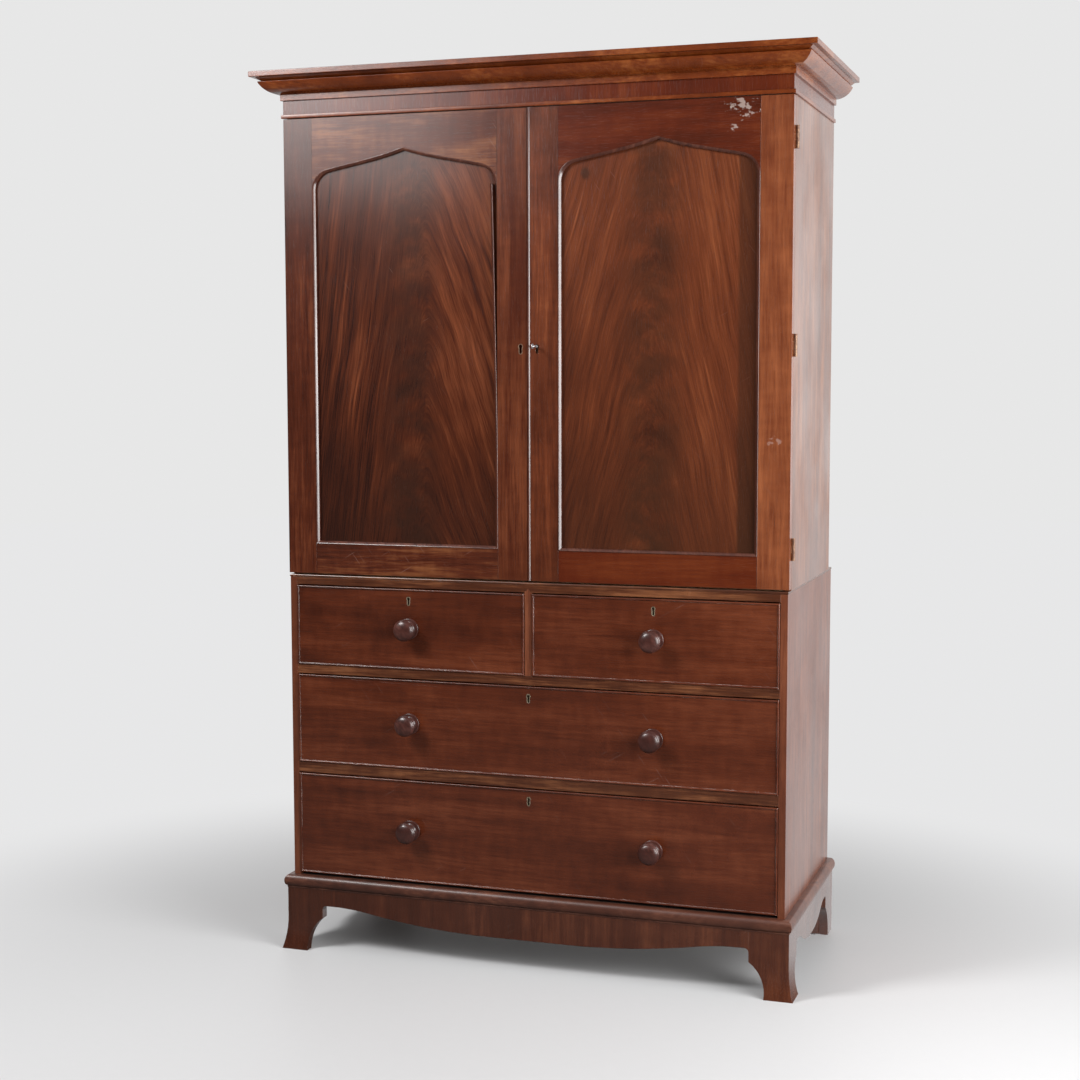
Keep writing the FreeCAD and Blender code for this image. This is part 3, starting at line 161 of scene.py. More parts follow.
class Graph:
    """The node tree of one material or world."""

    def __init__(self, tree: bpy.types.NodeTree) -> None:
        """Empties the tree and keeps it."""
        self.tree = tree
        tree.nodes.clear()

    def node(self, kind: str, settings: Mapping[str, Any] | None = None,
             sockets: Mapping[int | str, Any] | None = None) -> bpy.types.Node:
        """Adds a node.

        Args:
            kind: the node's type.
            settings: its properties, set first; "stops" gives a ramp's stops.
            sockets: a value, field or socket for each input, by name or number.

        Returns:
            The new node.
        """
        made = self.tree.nodes.new(kind)
        for name, value in (settings or {}).items():
            if name == "stops":
                self._set_stops(made.color_ramp, value)
            else:
                setattr(made, name, value)
        for key, value in (sockets or {}).items():
            source = value.socket if isinstance(value, Field) else value
            if isinstance(source, bpy.types.NodeSocket):
                self.tree.links.new(source, made.inputs[key])
            else:
                made.inputs[key].default_value = source
        return made

    @staticmethod
    def _set_stops(ramp: bpy.types.ColorRamp, stops: Sequence[tuple[float, Colour]]) -> None:
        """Gives a ramp its stops, each a place from 0 to 1 and a colour."""
        while len(ramp.elements) < len(stops):
            ramp.elements.new(0.5)
        for element, (place, colour) in zip(ramp.elements, stops):
            element.position = place
            element.color = (*colour, 1.0)

    def vector(self, x: Field | float, y: Field | float, z: Field | float) -> bpy.types.NodeSocket:
        """A vector from three numbers."""
        return self.node("ShaderNodeCombineXYZ", None, {0: x, 1: y, 2: z}).outputs[0]

    def parts(self, vector: bpy.types.NodeSocket) -> Place:
        """The three numbers of a vector."""
        outputs = self.node("ShaderNodeSeparateXYZ", None, {0: vector}).outputs
        return Field(self, outputs[0]), Field(self, outputs[1]), Field(self, outputs[2])

    def noise(self, x: Field | float, y: Field | float, z: Field | float, detail: float = 3.0,
              roughness: float = 0.5) -> Field:
        """Smooth noise about 0.5 at a place that is already scaled."""
        node = self.node("ShaderNodeTexNoise", None, {
            "Vector": self.vector(x, y, z), "Scale": 1.0, "Detail": detail, "Roughness": roughness})
        return Field(self, node.outputs[0])

    def patches(self, place: Place, scale: float, shift: float, detail: float,
                roughness: float = 0.5) -> Field:
        """Noise of one size in every direction, shifted upwards."""
        x, y, z = place
        return self.noise(x * scale, y * scale, z * scale + shift, detail, roughness)

    def ramp(self, factor: Field, stops: Sequence[tuple[float, Colour]]) -> bpy.types.NodeSocket:
        """A colour from a ramp."""
        return self.node("ShaderNodeValToRGB", {"stops": stops}, {0: factor}).outputs[0]

    def blend(self, factor: Field | float, first: Any, second: Any) -> bpy.types.NodeSocket:
        """Two colours mixed; each is a socket or three numbers.

        Args:
            factor: how much of the second colour there is.
            first: the colour where factor is 0.
            second: the colour where factor is 1.

        Returns:
            The mixed colour.
        """
        colours = [c if isinstance(c, bpy.types.NodeSocket) else (*c, 1.0) for c in (first, second)]
        return self.node("ShaderNodeMix", {"data_type": "RGBA"},
                         {0: factor, 6: colours[0], 7: colours[1]}).outputs[2]

    def place(self) -> Place:
        """The place on the piece, which stays with it as it moves."""
        return self.parts(self.node("ShaderNodeTexCoord").outputs["Object"])

    def eased(self, radius: float) -> bpy.types.NodeSocket:
        """The normal with every edge eased to a radius."""
        return self.node("ShaderNodeBevel", {"samples": 4}, {"Radius": radius}).outputs[0]

    def arris(self, eased: bpy.types.NodeSocket) -> Field:
        """0 on plain faces, and more where the eased normal turns away, along the edges."""
        plain = self.node("ShaderNodeNewGeometry").outputs["Normal"]
        facing = self.node("ShaderNodeVectorMath", {"operation": "DOT_PRODUCT"},
                           {0: eased, 1: plain}).outputs["Value"]
        return 1.0 - Field(self, facing)

    def bump(self, height: Field, strength: float, distance: float,
             normal: bpy.types.NodeSocket) -> bpy.types.NodeSocket:
        """A normal that follows a height, on top of another normal."""
        return self.node("ShaderNodeBump", None, {
            "Strength": strength, "Distance": distance, "Height": height,
            "Normal": normal}).outputs[0]

    def show(self, shader: bpy.types.Node) -> None:
        """Ends the material in this shader."""
        self.node("ShaderNodeOutputMaterial", None, {"Surface": shader.outputs[0]})


def blank_material(name: str) -> tuple[bpy.types.Material, Graph]:
    """A new material and its empty graph."""
    made = bpy.data.materials.new(name)
    made.use_nodes = True
    return made, Graph(made.node_tree)


def deeper(colour: Colour, share: float) -> Colour:
    """A colour with only a share of its light left."""
    return colour[0] * share, colour[1] * share, colour[2] * share


# --- finishes -------------------------------------------------------------------
class Grain(Enum):
    """The way that the grain of a piece of timber runs."""

    ALONG = "left to right"
    UPRIGHT = "upright, on the front and on the sides"
    ROUND = "level, round the corners of a moulding"
    DEEP = "front to back"

    def axes(self, place: Place) -> Place:
        """Turns a place into numbers along, across and through the grain."""
        x, y, z = place
        if self is Grain.ALONG:
            return x, z + y, y - z
        if self is Grain.UPRIGHT:
            return z, x + y, x - y
        if self is Grain.ROUND:
            return x + y, z, x - y
        return y, x + z, x - z


@dataclass(frozen=True)
class Layer:
    """One layer of a timber's figure: how many marks a metre holds each way of the grain."""

    across: float
    through: float
    along: float
    detail: float = 3.0
    roughness: float = 0.5

    def field(self, graph: Graph, grain: Place, shift: float) -> Field:
        """The layer's noise about 0.5, from numbers along, across and through the grain."""
        along, across, through = grain
        return graph.noise(across * self.across, through * self.through,
                           along * self.along + shift, self.detail, self.roughness)


DRIFT = Layer(5.0, 5.0, 1.3, 2.0)
BANDS = Layer(42.0, 20.0, 2.6, 4.0, 0.55)
DASHES = Layer(170.0, 60.0, 11.0, 3.0, 0.6)
CLOUD = Layer(9.0, 7.0, 2.3)
MOTTLE = Layer(16.0, 9.0, 42.0, 2.0)
PORES = Layer(900.0, 900.0, 34.0, 2.0)


@dataclass(frozen=True)
class Chip:
    """A patch of a front where the polish has flaked off."""

    x: float
    z: float
    half_x: float
    half_z: float

    def spread(self, place: Place) -> Field:
        """0 in the middle of the patch, and 1 at its rim."""
        x, _, z = place
        return (((x - self.x) / self.half_x) ** 2 + ((z - self.z) / self.half_z) ** 2).root()


@dataclass(frozen=True)
class Knot:
    """A small dark knot in a veneer."""

    x: float
    z: float
    radius: float
    squash: float = 0.7


@dataclass(frozen=True)
class WoodFinish:
    """Polished or plain timber with streaks, mottle, pores, rubbed edges and painted light.

    streak, cloud, mottle and pore say how strong each layer of the figure is. As painted light and
    shade, the timber is painted lighter by the two painted-light shares for each metre to the right and
    upwards from a set point, standing in for the lamps at the right. seams are the x of joint lines.
    """

    name: str
    grain: Grain
    seed: float
    dark: Colour
    mid: Colour
    light: Colour
    roughness: float = 0.26
    coat: float = 0.20
    streak: float = 0.55
    cloud: float = 0.45
    mottle: float = 0.20
    pore: float = 0.35
    edge_wear_and_sheen: float = 0.0
    worn_and_sheen: Colour = (0.33, 0.19, 0.15)
    scuff: float = 0.10
    edge: float = 0.0009
    relief: float = 0.22
    painted_light_to_right: float = 0.0
    painted_light_to_top: float = 0.0
    painted_light_even_at: Pair = (0.0, 1.0)
    seams: tuple[float, ...] = ()
    chips: tuple[Chip, ...] = ()
    wander: float = 0.035
    coat_roughness: float = 0.16
    pore_depth: float = 0.35
    seam_depth: float = 0.2
    seam_half: float = 0.0016
    grain_height: float = 0.00025

    def figure(self, graph: Graph, place: Place) -> Field:
        """How light the timber is at each place, about 0.5.

        Args:
            graph: the material's graph.
            place: the place on the piece.

        Returns:
            A field from 0, darkest, to 1, lightest.
        """
        along, across, through = self.grain.axes(place)
        x, _, z = place
        drift = DRIFT.field(graph, (along, across, through), self.seed)
        lanes = along, across + (drift - 0.5) * self.wander, through
        bands = BANDS.field(graph, lanes, self.seed)
        dashes = DASHES.field(graph, lanes, self.seed)
        cloud = CLOUD.field(graph, lanes, self.seed * 2.0)
        mottle = MOTTLE.field(graph, lanes, self.seed)
        lively = cloud.rise(0.32, 0.62) * 0.8 + 0.35
        lines = (bands - 0.5) * (1.7 * self.streak) + (dashes - 0.5) * (1.7 * self.streak)
        # painted light and shade: lighter towards the right and the top, standing in for the lamps at
        # the right
        fade = (x - self.painted_light_even_at[0]) * self.painted_light_to_right + (z - self.painted_light_even_at[1]) * self.painted_light_to_top
        return 0.5 + lines * lively + (cloud - 0.5) * (2.0 * self.cloud) \
            + (mottle - 0.5) * (1.3 * self.mottle) + fade

    def pores(self, graph: Graph, place: Place) -> Field:
        """1 in the short dark pores of the timber, and 0 between them."""
        return PORES.field(graph, self.grain.axes(place), self.seed).rise(0.56, 0.70)

    def scuffs(self, graph: Graph, place: Place) -> Field:
        """1 in the fine pale scratches that furniture picks up, and 0 elsewhere."""
        x, y, z = place
        flat = x + y
        first = graph.noise(
            (flat * 0.8 + z * 0.6) * 420.0, self.seed, (z * 0.8 - flat * 0.6) * 14.0, 1.0)
        second = graph.noise(
            (flat * 0.5 - z * 0.87) * 380.0, self.seed + 5.0, (z * 0.5 + flat * 0.87) * 11.0, 1.0)
        where = graph.patches(place, 5.0, self.seed, 2.0)
        return (first.rise(0.72, 0.80) + second.rise(0.73, 0.81)).smaller(1.0) \
            * where.rise(0.50, 0.68)

    def flaked(self, graph: Graph, place: Place, chip: Chip) -> Field:
        """1 where the polish has gone in a chipped patch, and 0 elsewhere."""
        x, y, z = place
        spread = chip.spread(place)
        flake = graph.noise(x * 62.0, y * 62.0, z * 95.0 + self.seed, 4.0, 0.62)
        return (flake + spread.rise(1.0, 0.0) * 0.16 - spread.over(1.0)).rise(0.645, 0.70)

    def colour(self, graph: Graph, place: Place, figure: Field) -> bpy.types.NodeSocket:
        """The timber's colour before wear."""
        return graph.ramp(figure, [(0.12, self.dark), (0.50, self.mid), (0.90, self.light)])

    def age(self, graph: Graph, place: Place, colour: bpy.types.NodeSocket, arris: Field,
            patch: Field) -> bpy.types.NodeSocket:
        """Rubs the edges, which paints highlights on the drawers, scratches the polish, and adds joint
        lines and chips.

        Args:
            graph: the material's graph.
            place: the place on the piece.
            colour: the timber's colour before wear.
            arris: over 0 along the edges.
            patch: noise that breaks the wear up.

        Returns:
            The colour with its wear.
        """
        x = place[0]
        # rubbed edges: real wear, and on the drawers a painted highlight along the cock beads
        colour = graph.blend(arris.rise(0.02, 0.22) * patch.rise(0.36, 0.62) * self.edge_wear_and_sheen,
                             colour, self.worn_and_sheen)
        colour = graph.blend(self.scuffs(graph, place) * self.scuff, colour, self.worn_and_sheen)
        for middle in self.seams:
            line = x.hump(middle, self.seam_half) * patch.rise(0.22, 0.50) * 0.8
            colour = graph.blend(line, colour, deeper(self.dark, self.seam_depth))
        for chip in self.chips:
            colour = graph.blend(self.flaked(graph, place, chip) * 0.70, colour, self.worn_and_sheen)
        return colour

    def material(self) -> bpy.types.Material:
        """Builds the finish.

        Returns:
            A material with grain, pores, softened and rubbed edges, painted highlights along the
            drawers' edges, and a polish.
        """
        made, graph = blank_material(self.name)
        place = graph.place()
        figure = self.figure(graph, place)
        pores = self.pores(graph, place)
        eased = graph.eased(self.edge)
        arris = graph.arris(eased)
        patch = graph.patches(place, 24.0, self.seed, 4.0, 0.6)
        rub = graph.patches(place, 3.1, self.seed, 3.0, 0.6)
        colour = graph.blend(pores * self.pore, self.colour(graph, place, figure),
                             deeper(self.dark, self.pore_depth))
        colour = self.age(graph, place, colour, arris, patch)
        polish = self.roughness + (rub - 0.5) * 0.10 + pores * 0.08 + (patch - 0.5) * 0.04
        height = figure * 0.25 - pores * 0.5 + (rub - 0.5) * 2.0
        graph.show(graph.node("ShaderNodeBsdfPrincipled", None, {
            "Base Color": colour, "Roughness": polish, "Coat Weight": rub.rise(0.2, 0.7) * self.coat,
            "Coat Roughness": self.coat_roughness,
            "Normal": graph.bump(height, self.relief, self.grain_height, eased)}))
        return made


@dataclass(frozen=True)
class FlameFinish(WoodFinish):
    """Flame-figured veneer: nested steep arches that fall away from a dark heart.

    left_fall and right_fall say how steeply the arches fall on each side of the heart, lines and hairs
    how strong the figure is. A painted shadow, a darker strip along the right edge where the stile
    shades the recessed panel, starts just inside the x given for it.
    """

    heart_x: float = 0.0
    heart_width: float = 0.100
    heart: Colour = (0.035, 0.016, 0.011)
    foot_z: float = 1.02
    crown_z: float = 1.96
    left_fall: float = 7.0
    right_fall: float = 3.6
    lines: float = 1.0
    hairs: float = 0.62
    painted_shadow_x: float = 9.0
    knots: tuple[Knot, ...] = ()

    def figure(self, graph: Graph, place: Place) -> Field:
        """How light the veneer is at each place, about 0.5."""
        x, _, z = place
        away = self.from_heart(graph, place)
        lean = graph.noise(x * 3.0, z * 2.0, self.seed + 3.0)
        side = away.rise(-0.05, 0.05)
        fall = self.left_fall + (self.right_fall - self.left_fall) * side
        arch = (away * away + 0.0030).root() * fall + z + (lean - 0.5) * 0.16
        branch = side * 9.0 + self.seed
        strand = graph.noise(arch * 6.0, z * 1.8, branch, 3.0, 0.55)
        fibre = graph.noise(arch * 21.0, z * 4.0, branch, 3.0, 0.6)
        hair = graph.noise(arch * 110.0, z * 12.0, branch, 3.0, 0.65)
        gleam = graph.noise(arch * 22.0, z * 2.6, branch + 11.0, 2.0)
        crown = z + away * away * 13.0 + (lean - 0.5) * 0.10
        hoops = graph.noise(crown * 15.0, x * 5.0, self.seed + 5.0, 2.0)
        cloud = graph.noise(x * 6.0, z * 2.2, self.seed + 7.0)
        lively = cloud.rise(0.30, 0.66) * 0.75 + 0.4
        middle = self.in_heart(graph, place)
        lines = (strand - 0.5) * 1.0 + (fibre - 0.5) * 1.05 + gleam.rise(0.58, 0.78) * 0.42
        # the term with the painted-light share paints the veneer lighter towards the right, standing in
        # for the lamps at the right
        return 0.42 + lines * lively * (1.0 - middle * 0.8) * self.lines \
            + (hair - 0.5) * self.hairs \
            + (hoops - 0.5) * middle * 0.9 + (cloud - 0.5) * 0.55 \
            + (x - self.heart_x) * self.painted_light_to_right + (z.rise(self.foot_z, self.crown_z) - 0.5) * 0.14

    def from_heart(self, graph: Graph, place: Place) -> Field:
        """How far to the right of the winding middle of the figure each place is."""
        x, _, z = place
        sway = graph.noise(z * 1.6, self.seed, 0.0, 2.0)
        return x - self.heart_x + (sway - 0.5) * 0.07

    def in_heart(self, graph: Graph, place: Place) -> Field:
        """1 along the dark column in the middle of the figure, fading to its sides."""
        x, _, z = place
        edge = graph.noise(x * 14.0, z * 5.0, self.seed + 1.0)
        away = abs(self.from_heart(graph, place)) + (edge - 0.5) * 0.06
        return away.rise(self.heart_width, 0.012)

    def colour(self, graph: Graph, place: Place, figure: Field) -> bpy.types.NodeSocket:
        """The veneer's colour before it is aged, smoky down its middle, with a painted shadow along its
        right edge.
        """
        x, _, z = place
        plain = graph.ramp(figure, [(0.10, self.dark), (0.48, self.mid), (0.92, self.light)])
        smoke = graph.noise(x * 12.0, z * 16.0, self.seed + 2.0, 4.0, 0.6)
        depth = z.rise(self.foot_z + 0.40, self.foot_z - 0.15)
        shade = self.in_heart(graph, place) * smoke.rise(0.28, 0.60) * 0.66 + depth * 0.42
        # painted shadow: a darker strip along the right edge, where the stile shades the recessed panel
        shade = shade + x.rise(self.painted_shadow_x - 0.022, self.painted_shadow_x - 0.012) * 0.62
        for knot in self.knots:
            ring = ((x - knot.x) ** 2 + ((z - knot.z) * knot.squash) ** 2).root() \
                + (smoke - 0.5) * 0.012
            shade = shade.larger(ring.rise(knot.radius, knot.radius * 0.35) * 0.85)
        return graph.blend(shade.smaller(1.0), plain, self.heart)


@dataclass(frozen=True)
class MetalFinish:
    """Old metal, dulled and tarnished in patches."""

    name: str
    bright: Colour
    dull: Colour
    roughness: float = 0.38
    metallic: float = 0.9
    edge: float = 0.0004
    relief: float = 0.3
    grain_height: float = 0.00008

    def material(self) -> bpy.types.Material:
        """Builds the finish.

        Returns:
            A material with tarnish, scratches and softened edges.
        """
        made, graph = blank_material(self.name)
        x, y, z = graph.place()
        tarnish = graph.noise(x * 160.0, y * 160.0, z * 160.0, 4.0, 0.6)
        brush = graph.noise(x * 900.0, y * 900.0, z * 160.0, 2.0)
        normal = graph.bump(tarnish + brush * 0.4, self.relief, self.grain_height,
                            graph.eased(self.edge))
        graph.show(graph.node("ShaderNodeBsdfPrincipled", None, {
            "Base Color": graph.blend(tarnish.rise(0.35, 0.65), self.dull, self.bright),
            "Metallic": self.metallic - tarnish.rise(0.75, 0.45) * 0.3,
            "Roughness": self.roughness + (tarnish - 0.5) * 0.4 + (brush - 0.5) * 0.1,
            "Normal": normal}))
        return made


class Palette:
    """Every finish of the press, built once and kept by name."""

    def __init__(self) -> None:
        """Starts with nothing built."""
        self.built: dict[str, bpy.types.Material] = {}

    def get(self, finish: WoodFinish | MetalFinish) -> bpy.types.Material:
        """The material of a finish, built on its first use."""
        if finish.name not in self.built:
            self.built[finish.name] = finish.material()
        return self.built[finish.name]


# painted light and shade: the left stiles are a darker copy and the right stiles a lighter copy of one
# mahogany, standing in for light from the right
SHADED_LEFT_STILES = WoodFinish("left_stile_painted_shade", Grain.UPRIGHT, 3.1, (0.028, 0.006, 0.003),
                         (0.078, 0.017, 0.007), (0.160, 0.043, 0.017), roughness=0.21,
                         painted_light_to_right=0.35, painted_light_even_at=(-0.50, 1.5))
LIT_RIGHT_STILES = WoodFinish("right_stile_painted_light", Grain.UPRIGHT, 6.3, (0.050, 0.011, 0.005),
                          (0.148, 0.036, 0.0135), (0.310, 0.095, 0.036), painted_light_to_right=0.62,
                          painted_light_even_at=(0.31, 1.5), streak=0.38, scuff=0.25, roughness=0.22,
                          chips=(Chip(0.585, 1.28, 0.030, 0.02),))
LEFT_RAILS = WoodFinish("left_rail_mahogany", Grain.ALONG, 8.4, (0.036, 0.009, 0.005),
                        (0.092, 0.021, 0.009), (0.230, 0.080, 0.030), streak=0.52, mottle=0.25,
                        scuff=0.35, painted_light_to_top=0.16, painted_light_even_at=(0.0, 1.5), roughness=0.22)
RIGHT_RAILS = WoodFinish("right_rail_mahogany", Grain.ALONG, 15.2, (0.042, 0.008, 0.003),
                         (0.094, 0.015, 0.0045), (0.160, 0.033, 0.009), streak=0.28, mottle=0.2,
                         pore=0.20, relief=0.10, scuff=0.22, painted_light_to_top=-0.2, painted_light_even_at=(0.0, 1.5),
                         roughness=0.22, worn_and_sheen=(0.42, 0.33, 0.29),
                         chips=(Chip(0.505, 2.022, 0.052, 0.036), Chip(0.487, 1.975, 0.018, 0.016)))
LEFT_FLAME = FlameFinish("left_flame_veneer", Grain.UPRIGHT, 21.0, (0.022, 0.006, 0.004),
                         (0.085, 0.020, 0.008), (0.190, 0.052, 0.020), heart_x=-0.300,
                         heart=(0.034, 0.013, 0.008), left_fall=8.0, right_fall=2.9,
                         painted_light_to_right=0.58, scuff=0.30, roughness=0.19, hairs=0.85)
# its painted shadow strip lies along the right edge of the right panel
RIGHT_FLAME = FlameFinish("right_flame_veneer", Grain.UPRIGHT, 47.0, (0.046, 0.012, 0.006),
                          (0.130, 0.032, 0.012), (0.245, 0.070, 0.025), heart_x=0.300,
                          heart=(0.050, 0.018, 0.009), left_fall=4.2, right_fall=4.8,
                          painted_light_to_right=0.36, scuff=0.30, roughness=0.21, lines=0.72, painted_shadow_x=0.515,
                          knots=(Knot(0.138, 1.887, 0.013),))
BEADS = WoodFinish("bead_mahogany", Grain.UPRIGHT, 5.0, (0.035, 0.011, 0.008),
                   (0.085, 0.026, 0.016), (0.150, 0.052, 0.032), roughness=0.20, coat=1.0,
                   relief=0.05, edge=0.0004)
CASE_SIDES = WoodFinish("side_mahogany", Grain.UPRIGHT, 11.7, (0.100, 0.030, 0.013),
                        (0.165, 0.052, 0.021), (0.260, 0.092, 0.038), roughness=0.34, coat=0.7,
                        streak=0.8, cloud=0.7)
CHEST_RAILS = WoodFinish("rail_mahogany", Grain.ALONG, 31.0, (0.045, 0.013, 0.006),
                         (0.088, 0.026, 0.011), (0.215, 0.078, 0.032), streak=0.7, edge_wear_and_sheen=0.3)
CHEST_STILES = WoodFinish("chest_side_mahogany", Grain.UPRIGHT, 13.3, (0.075, 0.018, 0.008),
                          (0.145, 0.039, 0.016), (0.225, 0.070, 0.031), roughness=0.32, coat=0.4,
                          streak=0.7)
PLINTH = WoodFinish("plinth_mahogany", Grain.UPRIGHT, 17.9, (0.038, 0.010, 0.005),
                    (0.072, 0.019, 0.009), (0.140, 0.042, 0.019), coat=0.5, streak=0.4, edge_wear_and_sheen=0.6,
                    scuff=0.3, painted_light_to_right=0.14, edge=0.0012)
MOULDING = WoodFinish("moulding_mahogany", Grain.ROUND, 23.5, (0.040, 0.013, 0.008),
                      (0.088, 0.028, 0.016), (0.165, 0.060, 0.034), roughness=0.41, coat=0.15,
                      edge_wear_and_sheen=0.5, scuff=0.4, relief=0.2, painted_light_to_right=0.28)
CORNICE = WoodFinish("cornice_mahogany", Grain.ROUND, 29.2, (0.075, 0.013, 0.003),
                     (0.160, 0.032, 0.006), (0.280, 0.078, 0.018), roughness=0.24, edge_wear_and_sheen=0.15,
                     streak=0.50, painted_light_to_right=0.12, painted_light_even_at=(0.25, 1.0), scuff=0.25)
FRIEZE = WoodFinish("frieze_veneer", Grain.UPRIGHT, 37.4, (0.055, 0.010, 0.004),
                    (0.100, 0.016, 0.0045), (0.175, 0.038, 0.010), roughness=0.23, streak=0.36,
                    painted_light_to_right=0.12)
KNOBS = WoodFinish("knob_mahogany", Grain.DEEP, 41.0, (0.026, 0.008, 0.006),
                   (0.064, 0.019, 0.014), (0.125, 0.044, 0.034), roughness=0.33, coat=0.45,
                   scuff=0.25, worn_and_sheen=(0.20, 0.13, 0.12), relief=0.15)
# painted shade: near black, standing in for the deep shadow in the gap under the bottom drawer
SHADE_DARK_BOARD = WoodFinish("painted_shade_oak", Grain.ALONG, 44.0, (0.012, 0.007, 0.005),
                        (0.028, 0.016, 0.010), (0.055, 0.034, 0.022), roughness=0.7, coat=0.0)
INNER = WoodFinish("inner_oak", Grain.ALONG, 51.0, (0.20, 0.12, 0.065), (0.37, 0.235, 0.13),
                   (0.52, 0.36, 0.21), roughness=0.62, coat=0.0, pore=0.5)
INNER_UPRIGHT = WoodFinish("back_pine", Grain.UPRIGHT, 57.0, (0.20, 0.115, 0.055),
                           (0.36, 0.22, 0.115), (0.50, 0.34, 0.19), roughness=0.66, coat=0.0,
                           pore=0.2)
INNER_DEEP = WoodFinish("runner_oak", Grain.DEEP, 61.0, (0.19, 0.11, 0.06), (0.35, 0.22, 0.12),
                        (0.50, 0.34, 0.19), roughness=0.64, coat=0.0, pore=0.4)
BRASS = MetalFinish("old_brass", (0.34, 0.21, 0.13), (0.15, 0.070, 0.042), roughness=0.48,
                    metallic=0.60)
LOCK_BRASS = MetalFinish("lock_brass", (0.52, 0.45, 0.31), (0.27, 0.22, 0.15), roughness=0.42)
STEEL = MetalFinish("lock_steel", (0.42, 0.41, 0.40), (0.22, 0.20, 0.19), roughness=0.4)
KEY_STEEL = MetalFinish("key_steel", (0.50, 0.49, 0.50), (0.28, 0.27, 0.27), roughness=0.3)


def drawer_finish(index: int) -> WoodFinish:
    """The veneer of one drawer front, each cut from another place in the log."""
    # painted highlight: the strong pale edge blend paints the bright lines along the cock beads
    return WoodFinish(f"drawer_mahogany_{index}", Grain.ALONG, 70.0 + 9.7 * index,
                      (0.046, 0.009, 0.0035), (0.099, 0.0205, 0.0072), (0.165, 0.041, 0.016),
                      streak=0.38, cloud=0.60, mottle=0.30, edge_wear_and_sheen=1.6, scuff=0.12, edge=0.0018,
                      worn_and_sheen=(0.58, 0.45, 0.41), painted_light_to_right=0.14)


# --- mesh work ------------------------------------------------------------------
class Maker:
    """Collects closed shapes into the mesh of one piece."""

    def __init__(self) -> None:
        """Starts an empty mesh."""
        self.mesh = bmesh.new()

    def _skin(self, near: Sequence[bmesh.types.BMVert], far: Sequence[bmesh.types.BMVert]) -> None:
        """Joins two rings of as many points each with four-sided faces."""
        for i in range(len(near)):
            j = (i + 1) % len(near)
            self.mesh.faces.new((near[i], near[j], far[j], far[i]))

    def loft(self, rings: Sequence[Sequence[Vector]], loop: bool = False) -> None:
        """Joins rings of as many points each into a skin.

        Args:
            rings: the rings in order; each is a closed outline.
            loop: whether the last ring joins the first; otherwise both ends are capped.
        """
        made = [[self.mesh.verts.new(point) for point in ring] for ring in rings]
        for near, far in zip(made, made[1:]):
            self._skin(near, far)
        if loop:
            self._skin(made[-1], made[0])
        else:
            self.mesh.faces.new(made[0])
            self.mesh.faces.new(made[-1])

    def turn(self, profile: Sequence[Pair], centre: Vector, axis: Vector, steps: int) -> None:
        """Turns a profile round an axis.

        Args:
            profile: radius and height of each point; a zero radius closes an end.
            centre: where the height is zero.
            axis: the direction of growing height.
            steps: how many facets go round.
        """
        turn = axis.to_track_quat("Z", "Y")
        rings = []
        for radius, height in profile:
            if radius > 0.0:
                rings.append([self.mesh.verts.new(centre + turn @ Vector((
                    radius * math.cos(2.0 * math.pi * i / steps),
                    radius * math.sin(2.0 * math.pi * i / steps), height))) for i in range(steps)])
        for near, far in zip(rings, rings[1:]):
            self._skin(near, far)
        for ring, (radius, height) in ((rings[0], profile[0]), (rings[-1], profile[-1])):
            if radius > 0.0:
                self.mesh.faces.new(ring)
                continue
            tip = self.mesh.verts.new(centre + turn @ Vector((0.0, 0.0, height)))
            for i in range(steps):
                self.mesh.faces.new((ring[i], ring[(i + 1) % steps], tip))

    def block(self, low: Vector, high: Vector, bevel: float) -> None:
        """A box between two corners, with its edges eased by bevel."""
        made = bmesh.ops.create_cube(self.mesh, size=1.0)["verts"]
        for vert in made:
            vert.co = Vector((low[i] + (vert.co[i] + 0.5) * (high[i] - low[i]) for i in range(3)))
        edges = list(dict.fromkeys(edge for vert in made for edge in vert.link_edges))
        bmesh.ops.bevel(self.mesh, geom=edges, offset=bevel, segments=2, profile=0.6, affect="EDGES")

    def finish(self, name: str, material: bpy.types.Material,
               sharp: float = 35.0) -> bpy.types.Object:
        """Closes the work and makes an object of it.

        Args:
            name: the piece's name.
            material: its finish.
            sharp: edges that turn more than this many degrees stay sharp.

        Returns:
            The object, in place, with its origin at the floor.
        """
        bmesh.ops.recalc_face_normals(self.mesh, faces=self.mesh.faces)
        data = bpy.data.meshes.new(name)
        self.mesh.to_mesh(data)
        self.mesh.free()
        data.polygons.foreach_set("use_smooth", [True] * len(data.polygons))
        data.set_sharp_from_angle(angle=math.radians(sharp))
        data.materials.append(material)
        made = bpy.data.objects.new(name, data)
        bpy.context.scene.collection.objects.link(made)
        return made


def arc(centre: Pair, radii: Pair, start: float, end: float, steps: int) -> list[Pair]:
    """Points on an ellipse from a start to an end angle in degrees, both included."""
    turns = [math.radians(start + (end - start) * i / steps) for i in range(steps + 1)]
    return [(centre[0] + radii[0] * math.cos(t), centre[1] + radii[1] * math.sin(t)) for t in turns]


